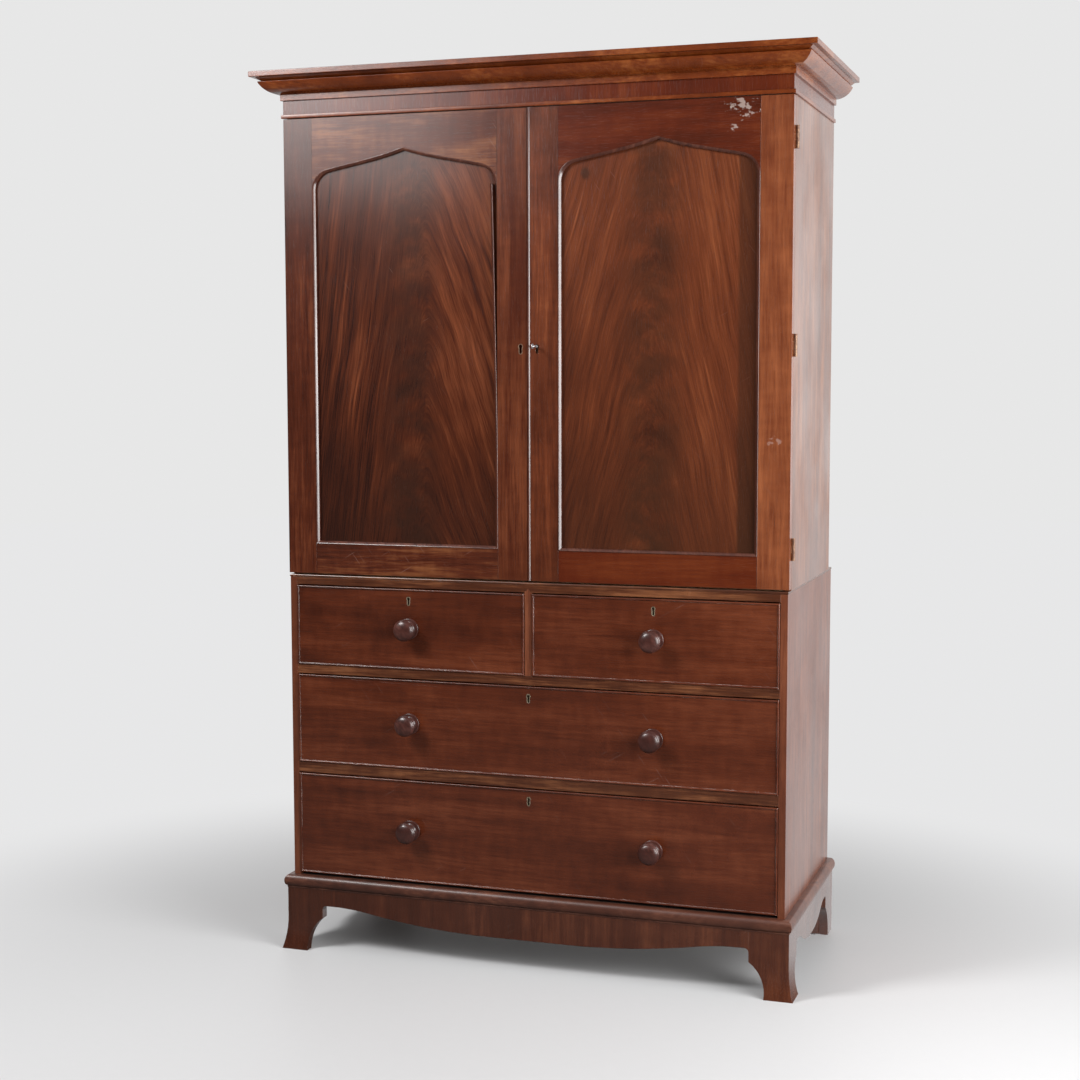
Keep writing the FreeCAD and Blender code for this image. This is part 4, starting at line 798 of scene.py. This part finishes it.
@dataclass
class SubAssembly:
    """A part of the press that builds its own pieces and dresses its solids."""

    frame: Frame
    palette: Palette

    def build(self) -> None:
        """Builds the pieces and dresses the solids."""
        raise NotImplementedError

    def dress(self, finish: WoodFinish | MetalFinish, *nodes: str) -> None:
        """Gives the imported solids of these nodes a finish."""
        material = self.palette.get(finish)
        for node in nodes:
            for slot in self.frame["nodes"][node].material_slots:
                slot.material = material

    def fit(self, maker: Maker, name: str, finish: WoodFinish | MetalFinish, body: str, slot: str,
            replaced: Iterable[str] = ()) -> None:
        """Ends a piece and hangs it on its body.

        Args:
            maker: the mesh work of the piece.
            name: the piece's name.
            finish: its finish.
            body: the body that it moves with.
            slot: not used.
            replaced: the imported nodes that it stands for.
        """
        piece = maker.finish(name, self.palette.get(finish))
        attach(piece, body)
        for node in replaced:
            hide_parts(node)
        LOG.info("%s rides on %s", name, body)


@dataclass(frozen=True)
class Screw:
    """A countersunk screw of which only the slotted head shows."""

    radius: float
    slot: float = 0.16
    sunk: float = 0.0006
    lift: float = 0.00022
    ease: float = 0.9
    steps: int = 10

    def drive(self, maker: Maker, centre: Vector, facing: Vector, turn: float) -> None:
        """Sets the head in a face.

        Args:
            maker: the mesh work that takes it.
            centre: the middle of the head, on the face.
            facing: the way that the head faces.
            turn: the slot's angle in degrees.
        """
        aim = facing.to_track_quat("Z", "Y")
        slot = self.radius * self.slot
        edge = math.acos(slot / self.radius)
        outline = arc((0.0, 0.0), (self.radius, self.radius), -math.degrees(edge),
                      math.degrees(edge), self.steps)
        levels = ((1.0, -self.sunk), (1.0, self.lift * 0.6), (self.ease, self.lift))
        for side in (0.0, math.pi):
            spin = Matrix.Rotation(math.radians(turn) + side, 3, "Z")
            maker.loft([[centre + aim @ (spin @ Vector((slot + (x - slot) * shrink, y * shrink, z)))
                         for x, y in outline] for shrink, z in levels])


@dataclass(frozen=True)
class HingeScrews:
    """The three screws in each leaf of a door's hinges, with every slot at its own angle."""

    start: float
    by_screw: float
    by_hinge: float
    inset: float = 0.010
    pitch: float = 0.018
    half_leaf: float = 0.0255
    screw: Screw = Screw(0.0024)

    def drive(self, maker: Maker, edge: float, y: float, facing: Vector) -> None:
        """Sets the screws of one column of leaves.

        Args:
            maker: the mesh work that takes them.
            edge: the x of the outer edge that the leaves are let into.
            y: the face that they are screwed to.
            facing: the way that the heads face.
        """
        x = edge - math.copysign(self.inset, edge)
        low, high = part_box("case_hinges")
        middles = (low.z + self.half_leaf, (low.z + high.z) / 2.0, high.z - self.half_leaf)
        for k, z in enumerate(middles):
            for j in (-1, 0, 1):
                self.screw.drive(maker, Vector((x, y, z + self.pitch * j)), facing,
                                 self.start + self.by_screw * j + self.by_hinge * k)


# --- sub-assemblies -------------------------------------------------------------
@dataclass
class Moulding:
    """A moulding that runs round the front and both sides, mitred at the corners."""

    half: float
    front: float
    back: float

    def run(self, maker: Maker, section: Sequence[Pair]) -> None:
        """Builds the run.

        Args:
            maker: the mesh work that takes it.
            section: the distance out from the face, and the height, of each point.
        """
        stations = ((-1.0, False), (-1.0, True), (1.0, True), (1.0, False))
        maker.loft([[Vector((side * (self.half + out), self.front - out if mitred else self.back, z))
                     for out, z in section] for side, mitred in stations])


@dataclass
class Arch:
    """The arched sight of a door: round shoulders, a shallow rise and a pointed crown."""

    middle: float
    half: float
    bottom: float
    spring: float
    apex: float
    shoulder: float = 0.050
    slope: float = math.radians(11.0)
    flick: float = 0.090
    steps: int = 14
    side_steps: int = 40

    def crown(self, inset: float) -> list[Pair]:
        """The outline from the right springing over the crown to the left one."""
        centre = self.half - self.shoulder
        turn = 90.0 - math.degrees(self.slope)
        right = arc((centre, self.spring), (self.shoulder - inset,) * 2, 0.0, turn, self.steps)
        end_a, end_z = right[-1]
        flick_z = end_z + (end_a - self.flick) * math.tan(self.slope)
        tip_z = self.apex - 1.05 * inset
        rise = math.atan2(tip_z - flick_z, self.flick)
        turned = rise - self.slope
        chord = math.hypot(self.flick, tip_z - flick_z)
        radius = chord / 2.0 / math.sin(turned)
        hub = (self.flick + radius * math.sin(self.slope), flick_z + radius * math.cos(self.slope))
        start = -90.0 - math.degrees(self.slope)
        right += arc(hub, (radius, radius), start, start - math.degrees(2.0 * turned), self.steps)
        return right + [(-a, z) for a, z in reversed(right[:-1])]

    def strip(self, which: str, inset: float) -> list[Pair]:
        """One straight side of the outline: "right", "left" or "bottom"."""
        side, low = self.half - inset, self.bottom + inset
        ends = {"right": ((side, low), (side, self.spring)),
                "left": ((-side, self.spring), (-side, low)),
                "bottom": ((-side, low), (side, low))}[which]
        (a0, z0), (a1, z1) = ends
        steps = self.side_steps
        return [(a0 + (a1 - a0) * i / steps, z0 + (z1 - z0) * i / steps) for i in range(steps + 1)]


@dataclass
class BeadSection:
    """The section of a bead: a straight back, a round nose and a gently rounded flank."""

    width: float
    proud: float
    nose: float
    depth: float
    steep: float = 34.0
    flat: float = 58.0
    steps: int = 8

    def points(self) -> list[Pair]:
        """How far in from the sight's edge, and how far out of the door's face, each point is."""
        top = arc((self.nose, self.proud - self.nose), (self.nose, self.nose), 180.0, self.flat, 7)
        start_a, start_z = top[-1]
        from_turn, to_turn = math.radians(self.flat), math.radians(self.steep)
        radius = (self.width - start_a) / (math.cos(to_turn) - math.cos(from_turn))
        hub = (start_a - radius * math.cos(from_turn), start_z - radius * math.sin(from_turn))
        flank = arc(hub, (radius, radius), self.flat, self.steep, self.steps)
        return [(0.0, -self.depth)] + top + flank[1:] + [(self.width, -self.depth)]


@dataclass
class Plinth(SubAssembly):
    """Bracket feet, aprons and the base moulding."""

    lip: float = 0.0010
    lip_height: float = 0.0024
    quirk: float = 0.0006
    lift: float = 0.0008
    swell_short: float = 0.0034
    nose: float = 0.0115
    nose_short: float = 0.0010

    def build(self) -> None:
        """Builds the moulding and dresses the rest."""
        low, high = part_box("base_moulding")
        chest_low, chest_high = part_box("chest_sides")
        reach = high.x - chest_high.x
        shelf = chest_low.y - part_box("apron_front")[0].y
        middle, tall = (low.z + high.z) / 2.0 + self.lift, (high.z - low.z) / 2.0
        lip, lip_z = shelf + self.lip, low.z + self.lip_height
        foot = shelf + self.quirk
        section = [(0.0, low.z), (lip, low.z), (lip, lip_z), (lip - self.quirk, lip_z + self.quirk)]
        section += arc((foot, middle), (reach - foot, tall - self.swell_short), -80.0, 0.0, 10)
        section += arc((reach - self.nose, middle), (self.nose, tall - self.nose_short), 0.0, 88.0,
                       14)[1:]
        maker = Maker()
        Moulding(chest_high.x, chest_low.y, high.y).run(maker, section + [(0.0, high.z)])
        self.fit(maker, "base_moulding_run", MOULDING, "carcass", "plinth", ["base_moulding"])
        self.dress(PLINTH, "feet_front", "feet_back", "apron_front", "aprons_side")


class Chest(SubAssembly):
    """The lower carcass round the drawers."""

    def build(self) -> None:
        """Dresses the carcass."""
        self.dress(CHEST_STILES, "chest_sides", "drawer_divider")
        self.dress(CHEST_RAILS, "chest_top", "drawer_rails")
        self.dress(INNER_DEEP, "upper_runners", "lower_runners")
        # painted shade: the bottom board is near black, standing in for the shadow under the bottom
        # drawer
        self.dress(SHADE_DARK_BOARD, "chest_bottom_board")
        self.dress(INNER_UPRIGHT, "chest_back_boards")


@dataclass(frozen=True)
class KnobShape:
    """A turned knob: a foot, a waisted neck and a domed head."""

    foot: float = 0.0255
    foot_edge: float = 0.0018
    foot_middle: float = 0.0022
    cove_inset: float = 0.0040
    cove_low: float = 0.0042
    cove_high: float = 0.0150
    neck: float = 0.0128
    under_height: float = 0.0112
    under_top: float = 0.0190
    head: float = 0.0260
    head_inset: float = 0.0020
    lip: float = 0.0030
    rim: float = 0.0340
    dome_lift: float = 0.0024
    projection: float = 0.046

    def profile(self) -> list[Pair]:
        """Radius and height of each point, from the drawer front outwards."""
        hollow, swell = self.foot - self.cove_inset, self.head - self.head_inset
        top = self.rim + self.dome_lift
        foot = arc((self.foot - self.foot_edge, self.foot_middle), (self.foot_edge,) * 2, 0.0, 80.0, 4)
        cove = arc((hollow, self.cove_high), (hollow - self.neck, self.cove_high - self.cove_low),
                   270.0, 180.0, 10)
        under = arc((swell, self.under_top), (swell - self.neck, self.under_height), 180.0, 96.0, 10)
        lip = arc((self.head - self.lip, self.rim), (self.lip,) * 2, -65.0, 62.0, 8)
        dome = arc((0.0, top), (swell, self.projection - top), 6.0, 87.0, 14)
        return [(self.foot, 0.0)] + foot + cove + under + lip + dome + [(0.0, self.projection)]


@dataclass
class Drawer(SubAssembly):
    """One drawer with its knobs, lock and bolt."""

    name: str
    index: int
    knob: KnobShape = KnobShape()
    facets: int = 64
    short_run: float = 0.1
    screw: Screw = Screw(0.0026)
    screw_inset: float = 0.006
    screw_turn: float = 31.0
    turn_by_column: float = 47.0
    turn_by_row: float = 83.0

    def build(self) -> None:
        """Turns the knobs, screws on the lock and dresses the solids."""
        self.fit_knobs()
        self.fit_lock_screws()
        self.dress(drawer_finish(self.index), f"{self.name}_front")
        self.dress(INNER_DEEP, f"{self.name}_box")
        self.dress(LOCK_BRASS, f"{self.name}_lock")
        self.dress(STEEL, f"{self.name}_bolt")

    def fit_knobs(self) -> None:
        """One knob in the middle of a short drawer, or one towards each end of a long one."""
        low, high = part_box(f"{self.name}_knobs")
        centres = [(low.x + high.x) / 2.0]
        if high.x - low.x > self.short_run:
            centres = [low.x + self.knob.head, high.x - self.knob.head]
        maker = Maker()
        for x in centres:
            foot = Vector((x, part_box("drawer_rails")[0].y, (low.z + high.z) / 2.0))
            maker.turn(self.knob.profile(), foot, FORWARDS, self.facets)
        self.fit(maker, f"{self.name}_turned_knobs", KNOBS, self.name, "knobs",
                 [f"{self.name}_knobs"])

    def fit_lock_screws(self) -> None:
        """Four screws in the corners of the lock behind the drawer front."""
        low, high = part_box(f"{self.name}_lock")
        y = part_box(f"{self.name}_front")[1].y
        maker = Maker()
        for i, x in enumerate((low.x + self.screw_inset, high.x - self.screw_inset)):
            for j, z in enumerate((low.z + self.screw_inset, high.z - self.screw_inset)):
                self.screw.drive(maker, Vector((x, y, z)), BACKWARDS,
                                 self.screw_turn + self.turn_by_column * i + self.turn_by_row * j)
        self.fit(maker, f"{self.name}_lock_screws", STEEL, self.name, "lock_steel")


@dataclass
class Press(SubAssembly):
    """The upper carcass with its linen trays."""

    trays: int = 4
    screws: HingeScrews = HingeScrews(25.0, 61.0, 37.0)

    def build(self) -> None:
        """Screws on the hinges, and dresses the carcass and the trays."""
        self.dress(CASE_SIDES, "press_sides")
        self.dress(INNER, "press_top_board", "press_bottom_board")
        self.dress(INNER_UPRIGHT, "press_back_boards")
        self.dress(INNER_DEEP, "tray_bearers")
        self.dress(INNER, *(f"linen_tray_{i + 1}" for i in range(self.trays)))
        self.dress(BRASS, "case_hinges")
        low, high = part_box("press_sides")
        maker = Maker()
        for edge in (-high.x, high.x):
            self.screws.drive(maker, edge, low.y, FORWARDS)
        self.fit(maker, "case_hinge_screws", STEEL, "carcass", "lock_steel")


@dataclass
class Door(SubAssembly):
    """One arched and panelled door, "left" or "right"."""

    side: str
    rebate: float = 0.008
    arch_rise: float = 0.093
    strip_ease: float = 0.0008
    sprung_from: float = 1.250
    sprung_to: float = 1.871
    sprung_reach: float = 0.0110
    sprung_curve: float = 1.2
    screws: HingeScrews = HingeScrews(12.0, 71.0, 29.0)

    @property
    def body(self) -> str:
        """The body that this door moves with."""
        return f"{self.side}_door"

    def sight(self) -> Arch:
        """The arched opening, from the solids of this door."""
        low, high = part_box(f"{self.body}_panel")
        return Arch(middle=(low.x + high.x) / 2.0, half=(high.x - low.x) / 2.0 - self.rebate,
                    bottom=low.z + self.rebate, spring=high.z - self.rebate - self.arch_rise,
                    apex=high.z - self.rebate)

    def build(self) -> None:
        """Builds the beads and dresses the solids."""
        left = self.side == "left"
        sight = self.sight()
        seams = (sight.middle - sight.half, sight.middle + sight.half)
        self.build_beads(sight)
        self.dress(SHADED_LEFT_STILES if left else LIT_RIGHT_STILES, f"{self.body}_stiles")
        self.dress(replace(LEFT_RAILS if left else RIGHT_RAILS, seams=seams), f"{self.body}_rails")
        self.dress(LEFT_FLAME if left else RIGHT_FLAME, f"{self.body}_panel")
        self.dress(BRASS, f"{self.body}_brassware")
        low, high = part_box(f"{self.body}_stiles")
        maker = Maker()
        self.screws.drive(maker, low.x if left else high.x, high.y, BACKWARDS)
        self.fit(maker, f"{self.body}_hinge_screws", STEEL, self.body, "lock_steel")

    def build_beads(self, sight: Arch) -> None:
        """The bead round the panel, the strips behind it and the meeting bead."""
        low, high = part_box(f"{self.body}_stiles")
        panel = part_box(f"{self.body}_panel")
        bead = BeadSection(width=0.007, proud=0.0015, nose=0.0011, depth=panel[0].y - low.y)
        lines = [[[Vector((sight.middle + a, low.y - out, z)) for a, z in line]
                  for line in self.outlines(sight, inset)] for inset, out in bead.points()]
        maker = Maker()
        for side in zip(*lines):
            maker.loft(list(zip(*side)))
        self.add_back_strips(maker, panel, high.y)
        if self.side == "right":
            bead = BeadSection(width=0.006, proud=0.0025, nose=0.0010, depth=0.003, steep=40.0,
                               flat=68.0)
            maker.loft([[Vector((low.x + inset, low.y - out, z)) for inset, out in bead.points()]
                        for z in (low.z, high.z)])
        self.fit(maker, f"{self.body}_bead_mouldings", BEADS, self.body, "door_beads",
                 [f"{self.body}_beads"])

    def outlines(self, sight: Arch, inset: float) -> list[list[Pair]]:
        """The crown and the three straight sides of the sight, drawn in by inset."""
        right = sight.strip("right", inset)
        if self.side == "left":
            right = [(a - self.sprung(z), z) for a, z in right]
        return [sight.crown(inset), sight.strip("left", inset), sight.strip("bottom", inset), right]

    def sprung(self, z: float) -> float:
        """How far the loose strip has sprung inwards at a height."""
        along = (z - self.sprung_from) / (self.sprung_to - self.sprung_from)
        return self.sprung_reach * min(max(along, 0.0), 1.0) ** self.sprung_curve

    def add_back_strips(self, maker: Maker, panel: tuple[Vector, Vector], back: float) -> None:
        """The four mitred strips that hold the panel from behind."""
        low, high = panel
        width, ease = self.rebate, self.strip_ease
        section = [(0.0, high.y), (width, high.y), (width, back - ease), (width - ease, back),
                   (0.0, back)]
        corners = ((low.x, low.z, 1, 1), (high.x, low.z, -1, 1), (high.x, high.z, -1, -1),
                   (low.x, high.z, 1, -1))
        maker.loft([[Vector((x + sx * a, y, z + sz * a)) for a, y in section]
                    for x, z, sx, sz in corners], loop=True)


@dataclass
class Ironmongery(SubAssembly):
    """The lock, its key and the slide bolts of the doors."""

    stem: float = 0.0021
    collar_stand: float = 0.006
    bow: float = 0.0065
    bow_lap: float = 0.001
    wire_inset: float = 0.0016
    wire: Pair = (0.0015, 0.0014)
    bit_half: float = 0.001
    bit_gap: float = 0.0004
    bit_ease: float = 0.0002
    stem_facets: int = 24
    bow_steps: int = 36
    wire_steps: int = 12

    def build(self) -> None:
        """Makes the key and dresses the rest."""
        self.dress(LOCK_BRASS, "door_lock_case")
        self.dress(STEEL, "door_lock_bolt")
        self.dress(BRASS, "left_door_top_bolt", "left_door_bottom_bolt")
        self.build_key()

    def build_key(self) -> None:
        """A small cabinet key: a turned stem with collars, a pierced bow and a bit."""
        low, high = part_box("door_key")
        x, z = (low.x + high.x) / 2.0, high.z - self.bow
        neck = low.y + 2.0 * self.bow - self.bow_lap
        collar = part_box("right_door_stiles")[0].y - self.collar_stand - neck
        maker = Maker()
        maker.turn(self.stem_profile(high.y - neck, collar), Vector((x, neck, z)), BACKWARDS,
                   self.stem_facets)
        hub = Vector((x, low.y + self.bow, z))
        rings = []
        for i in range(self.bow_steps):
            turn = 2.0 * math.pi * i / self.bow_steps
            out = Vector((0.0, math.cos(turn), math.sin(turn)))
            rings.append([hub + out * (self.bow - self.wire_inset + a) + Vector((b, 0.0, 0.0))
                          for a, b in arc((0.0, 0.0), self.wire, 0.0, 360.0, self.wire_steps)[:-1]])
        maker.loft(rings, loop=True)
        bolt_low, bolt_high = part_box("door_lock_bolt")
        maker.block(Vector((x - self.bit_half, bolt_low.y + self.bit_gap, low.z)),
                    Vector((x + self.bit_half, bolt_high.y - self.bit_gap, z)), self.bit_ease)
        self.fit(maker, "cabinet_key", KEY_STEEL, "key", "key_steel", ["door_key"])

    def stem_profile(self, length: float, collar: float) -> list[Pair]:
        """Radius and height of each point of the key's stem, from its neck to its tip.

        Args:
            length: the length of the stem.
            collar: how far along it the collar starts.

        Returns:
            The points of the turned profile.
        """
        neck = [(0.8, -0.001), (1.45, 0.0), (1.45, 0.0011), (1.0, 0.0018)]
        ring = [(1.0, -0.0008), (1.5, 0.0), (1.62, 0.0009), (1.5, 0.0018), (1.05, 0.0026), (1.0, 0.004)]
        tip = [(1.0, length - 0.0006), (0.7, length)]
        points = neck + [(share, collar + height) for share, height in ring] + tip
        return [(self.stem * share, height) for share, height in points]


@dataclass
class Cornice(SubAssembly):
    """The loose cornice: frieze, bead, ovolo and its top board."""

    inner: float = 0.020
    frieze_lap: float = 0.004
    board_ease: float = 0.0006
    strip_height: float = 0.009
    strip_reach: float = 0.004
    strip_ease: float = 0.0014
    step: float = 0.005
    step_ease: float = 0.0006
    foot: float = 0.002
    foot_gap: float = 0.0004
    drop: float = 0.0374
    sweep: float = 0.0464
    sweep_from: float = -85.0
    sweep_to: float = -25.0
    lip: float = 0.0008
    lip_ease: float = 0.0010
    quirk_low: Pair = (-0.0075, 0.0022)
    quirk_top: float = 0.0045
    board: float = 0.013
    nose: float = 0.0013
    stay: float = 0.0004

    def build(self) -> None:
        """Builds the frieze, and the mouldings as mitred runs."""
        frieze_low, frieze_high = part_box("cornice_frieze")
        low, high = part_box("cornice_mouldings")
        half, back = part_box("press_sides")[1].x, frieze_high.y
        path = Moulding(half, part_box("left_door_stiles")[0].y, back)
        frieze = Maker()
        path.run(frieze, [(-self.inner, frieze_low.z), (0.0, frieze_low.z),
                          (0.0, low.z + self.frieze_lap), (-self.inner, low.z + self.frieze_lap)])
        frieze.block(Vector((-half + self.inner, back - self.inner, frieze_low.z)),
                     Vector((half - self.inner, back, frieze_high.z)), self.board_ease)
        self.fit(frieze, "frieze_boards", FRIEZE, "carcass", "cornice", ["cornice_frieze"])
        mouldings = Maker()
        for section in (self.strip(frieze_low.z), self.ovolo(low.z, high.z - self.board),
                        self.top_board(high.z, high.x - half)):
            path.run(mouldings, section)
        self.fit(mouldings, "cornice_runs", CORNICE, "carcass", "cornice", ["cornice_mouldings"])

    def strip(self, low: float) -> list[Pair]:
        """The section of the strip along the foot of the frieze."""
        ease, top = self.strip_ease, low + self.strip_height
        edge = self.strip_reach - ease
        return [(0.0, low)] + arc((edge, low + ease), (ease, ease), -90.0, 0.0, 4) \
            + arc((edge, top - ease), (ease, ease), 0.0, 90.0, 4) + [(0.0, top)]

    def ovolo(self, low: float, top: float) -> list[Pair]:
        """The section of the step, the ovolo and the quirk over it.

        Args:
            low: the height of the step's lower edge.
            top: the height of the board's lower face.

        Returns:
            The distance out and the height of each point.
        """
        step, ease, foot_z = self.step, self.step_ease, top - self.drop
        start, end = math.radians(self.sweep_from), math.radians(self.sweep_to)
        hub = (step + self.foot - self.sweep * math.cos(start), foot_z - self.sweep * math.sin(start))
        out, lip_z = hub[0] + self.sweep * math.cos(end), hub[1] + self.sweep * math.sin(end)
        return [(-self.inner, low), (step - ease, low), (step, low + ease),
                (step, foot_z - self.foot_gap), (step + ease, foot_z)] \
            + arc(hub, (self.sweep, self.sweep), self.sweep_from, self.sweep_to, 16) \
            + [(out, lip_z + self.lip), (out - self.lip_ease, lip_z + self.lip + self.lip_ease),
               (out + self.quirk_low[0], lip_z + self.quirk_low[1]), (out + self.quirk_top, top),
               (-self.inner, top)]

    def top_board(self, top: float, reach: float) -> list[Pair]:
        """The section of the board over the mouldings, with a small round to both edges."""
        nose, low = self.nose, top - self.board
        return [(-self.inner, low)] + arc((reach - nose, low + nose), (nose, nose), -90.0, 0.0, 4) \
            + [(reach, low + nose + self.stay), (reach, top - nose - self.stay)] \
            + arc((reach - nose, top - nose), (nose, nose), 0.0, 90.0, 4) + [(-self.inner, top)]


# --- studio ---------------------------------------------------------------------
@dataclass
class Lamp:
    """One rectangular soft lamp."""

    name: str
    place: tuple[float, float, float]
    aim: tuple[float, float, float]
    size: Pair
    power: float

    def light(self) -> None:
        """Hangs the lamp."""
        data = bpy.data.lights.new(self.name, "AREA")
        data.shape = "RECTANGLE"
        data.size, data.size_y = self.size
        data.energy = self.power
        lamp = bpy.data.objects.new(self.name, data)
        lamp.location = self.place
        lamp.rotation_euler = (Vector(self.aim) - Vector(self.place)).to_track_quat(
            "-Z", "Y").to_euler()
        bpy.context.scene.collection.objects.link(lamp)


@dataclass
class Studio:
    """Camera, floor, lamps and surroundings."""

    eye: tuple[float, float, float] = (1.3993, -4.2996, 1.4306)
    yaw: float = 0.3262
    pitch: float = -0.0908
    roll: float = -0.0019
    lens: float = 60.933
    sensor: float = 36.0
    backdrop: Colour = (0.80, 0.80, 0.805)
    floor: Colour = (0.69, 0.69, 0.695)
    bounce: Colour = (0.16, 0.155, 0.15)
    floor_radius: float = 14.0
    fade_shift: float = 0.4
    fade: Pair = (0.9, 2.2)
    mirror: Pair = (-0.30, 0.10)
    soft: float = 0.25
    gloom: float = 0.02
    overhead: float = 0.45

    def build(self) -> None:
        """Sets up the whole studio."""
        scene = bpy.context.scene
        scene.view_settings.view_transform = "Standard"
        self.set_camera()
        self.lay_floor()
        self.set_world()
        for lamp in self.lamps():
            lamp.light()

    @staticmethod
    def lamps() -> list[Lamp]:
        """A key and a soft umbrella at the upper left, and two tall windows at the right."""
        return [
            Lamp("key", (-1.90, -2.15, 3.05), (0.0, -0.25, 1.10), (1.0, 1.0), 82.0),
            Lamp("umbrella", (-1.42, -2.15, 2.57), (-0.4, -0.25, 1.90), (1.0, 0.98), 12.0),
            Lamp("front_window", (2.55, -2.00, 1.45), (0.2, -0.25, 1.30), (1.1, 1.9), 44.0),
            Lamp("side_window", (3.00, -0.95, 1.45), (0.5, -0.10, 1.30), (1.4, 2.0), 88.0),
        ]

    def set_camera(self) -> None:
        """Places the camera at standing height, to the right of the press."""
        ahead = Vector((-math.sin(self.yaw) * math.cos(self.pitch),
                        math.cos(self.yaw) * math.cos(self.pitch), math.sin(self.pitch)))
        right = Vector((math.cos(self.yaw), math.sin(self.yaw), 0.0))
        up = right.cross(ahead)
        rolled_right = right * math.cos(self.roll) + up * math.sin(self.roll)
        rolled_up = -right * math.sin(self.roll) + up * math.cos(self.roll)
        data = bpy.data.cameras.new("camera")
        data.lens = self.lens
        data.sensor_width = self.sensor
        camera = bpy.data.objects.new("camera", data)
        camera.matrix_world = Matrix((
            (rolled_right.x, rolled_up.x, -ahead.x, self.eye[0]),
            (rolled_right.y, rolled_up.y, -ahead.y, self.eye[1]),
            (rolled_right.z, rolled_up.z, -ahead.z, self.eye[2]),
            (0.0, 0.0, 0.0, 1.0)))
        bpy.context.scene.collection.objects.link(camera)
        bpy.context.scene.camera = camera

    def lay_floor(self) -> None:
        """A round pale floor that fades into the backdrop."""
        made = bmesh.new()
        bmesh.ops.create_circle(made, cap_ends=True, segments=96, radius=self.floor_radius)
        data = bpy.data.meshes.new("studio_floor")
        made.to_mesh(data)
        made.free()
        data.materials.append(self.floor_material())
        floor = bpy.data.objects.new("studio_floor", data)
        bpy.context.scene.collection.objects.link(floor)

    def floor_material(self) -> bpy.types.Material:
        """Pale ground that keeps the shadow, and glows like the backdrop farther out.

        Returns:
            The material, which shows the backdrop's glow in the polish behind the press too.
        """
        material, graph = blank_material("studio_floor")
        x, y, _ = graph.place()
        far = (x * x + (y + self.fade_shift) ** 2).root().rise(*self.fade)
        grain = graph.noise(x * 40.0, y * 40.0, 0.0)
        tone = graph.blend(grain, deeper(self.floor, 0.97), self.floor)
        ground = graph.node("ShaderNodeBsdfPrincipled", None, {
            "Base Color": tone, "Roughness": 0.55 + (grain - 0.5) * 0.1})
        glow = graph.node("ShaderNodeEmission", None,
                          {"Color": (*self.backdrop, 1.0), "Strength": 1.0})
        dim = graph.node("ShaderNodeBsdfDiffuse", None, {"Color": (*self.bounce, 1.0)})
        path = graph.node("ShaderNodeLightPath").outputs
        seen = Field(graph, path["Is Camera Ray"])
        behind = Field(graph, path["Is Glossy Ray"]) * y.rise(*self.mirror)
        shown = graph.node("ShaderNodeMixShader", None, {
            0: far.larger(behind), 1: ground.outputs[0], 2: glow.outputs[0]})
        graph.show(graph.node("ShaderNodeMixShader", None, {
            0: seen.larger(behind), 1: dim.outputs[0], 2: shown.outputs[0]}))
        return material

    def set_world(self) -> None:
        """Soft light all round, brighter behind the press in its reflections."""
        world = bpy.data.worlds.new("studio")
        world.use_nodes = True
        bpy.context.scene.world = world
        graph = Graph(world.node_tree)
        x, y, z = graph.parts(graph.node("ShaderNodeTexCoord").outputs["Generated"])
        path = graph.node("ShaderNodeLightPath").outputs
        seen = Field(graph, path["Is Camera Ray"])
        mirrored = Field(graph, path["Is Glossy Ray"])
        behind = (y + x * 0.35).rise(0.05, 0.75)
        overhead = z.rise(0.55, 0.95)
        gloss = self.gloom + behind.larger(overhead * self.overhead) * (1.0 - self.gloom)
        unseen = mirrored * gloss + (1.0 - mirrored) * self.soft
        level = seen * self.backdrop[0] + (1.0 - seen) * unseen
        lit = graph.node("ShaderNodeBackground", None, {
            "Color": (1.0, 1.0, 1.0, 1.0), "Strength": level})
        graph.node("ShaderNodeOutputWorld", None, {"Surface": lit.outputs[0]})


def corners(box: tuple[Vector, Vector]) -> list[list[float]]:
    """A box's two corners as plain lists."""
    return [list(point) for point in box]


def main() -> None:
    """Builds the press, piece by piece, in its studio."""
    logging.basicConfig(level=logging.INFO, format="%(name)s: %(message)s")
    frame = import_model()
    palette = Palette()
    Studio().build()
    drawers = ("top_left_drawer", "top_right_drawer", "middle_drawer", "bottom_drawer")
    parts: list[SubAssembly] = [Plinth(frame, palette), Chest(frame, palette)]
    parts += [Drawer(frame, palette, name, i) for i, name in enumerate(drawers)]
    parts += [Press(frame, palette), Door(frame, palette, "left"), Door(frame, palette, "right"),
              Ironmongery(frame, palette), Cornice(frame, palette)]
    for part in parts:
        part.build()


if __name__ == "__main__":
    main()
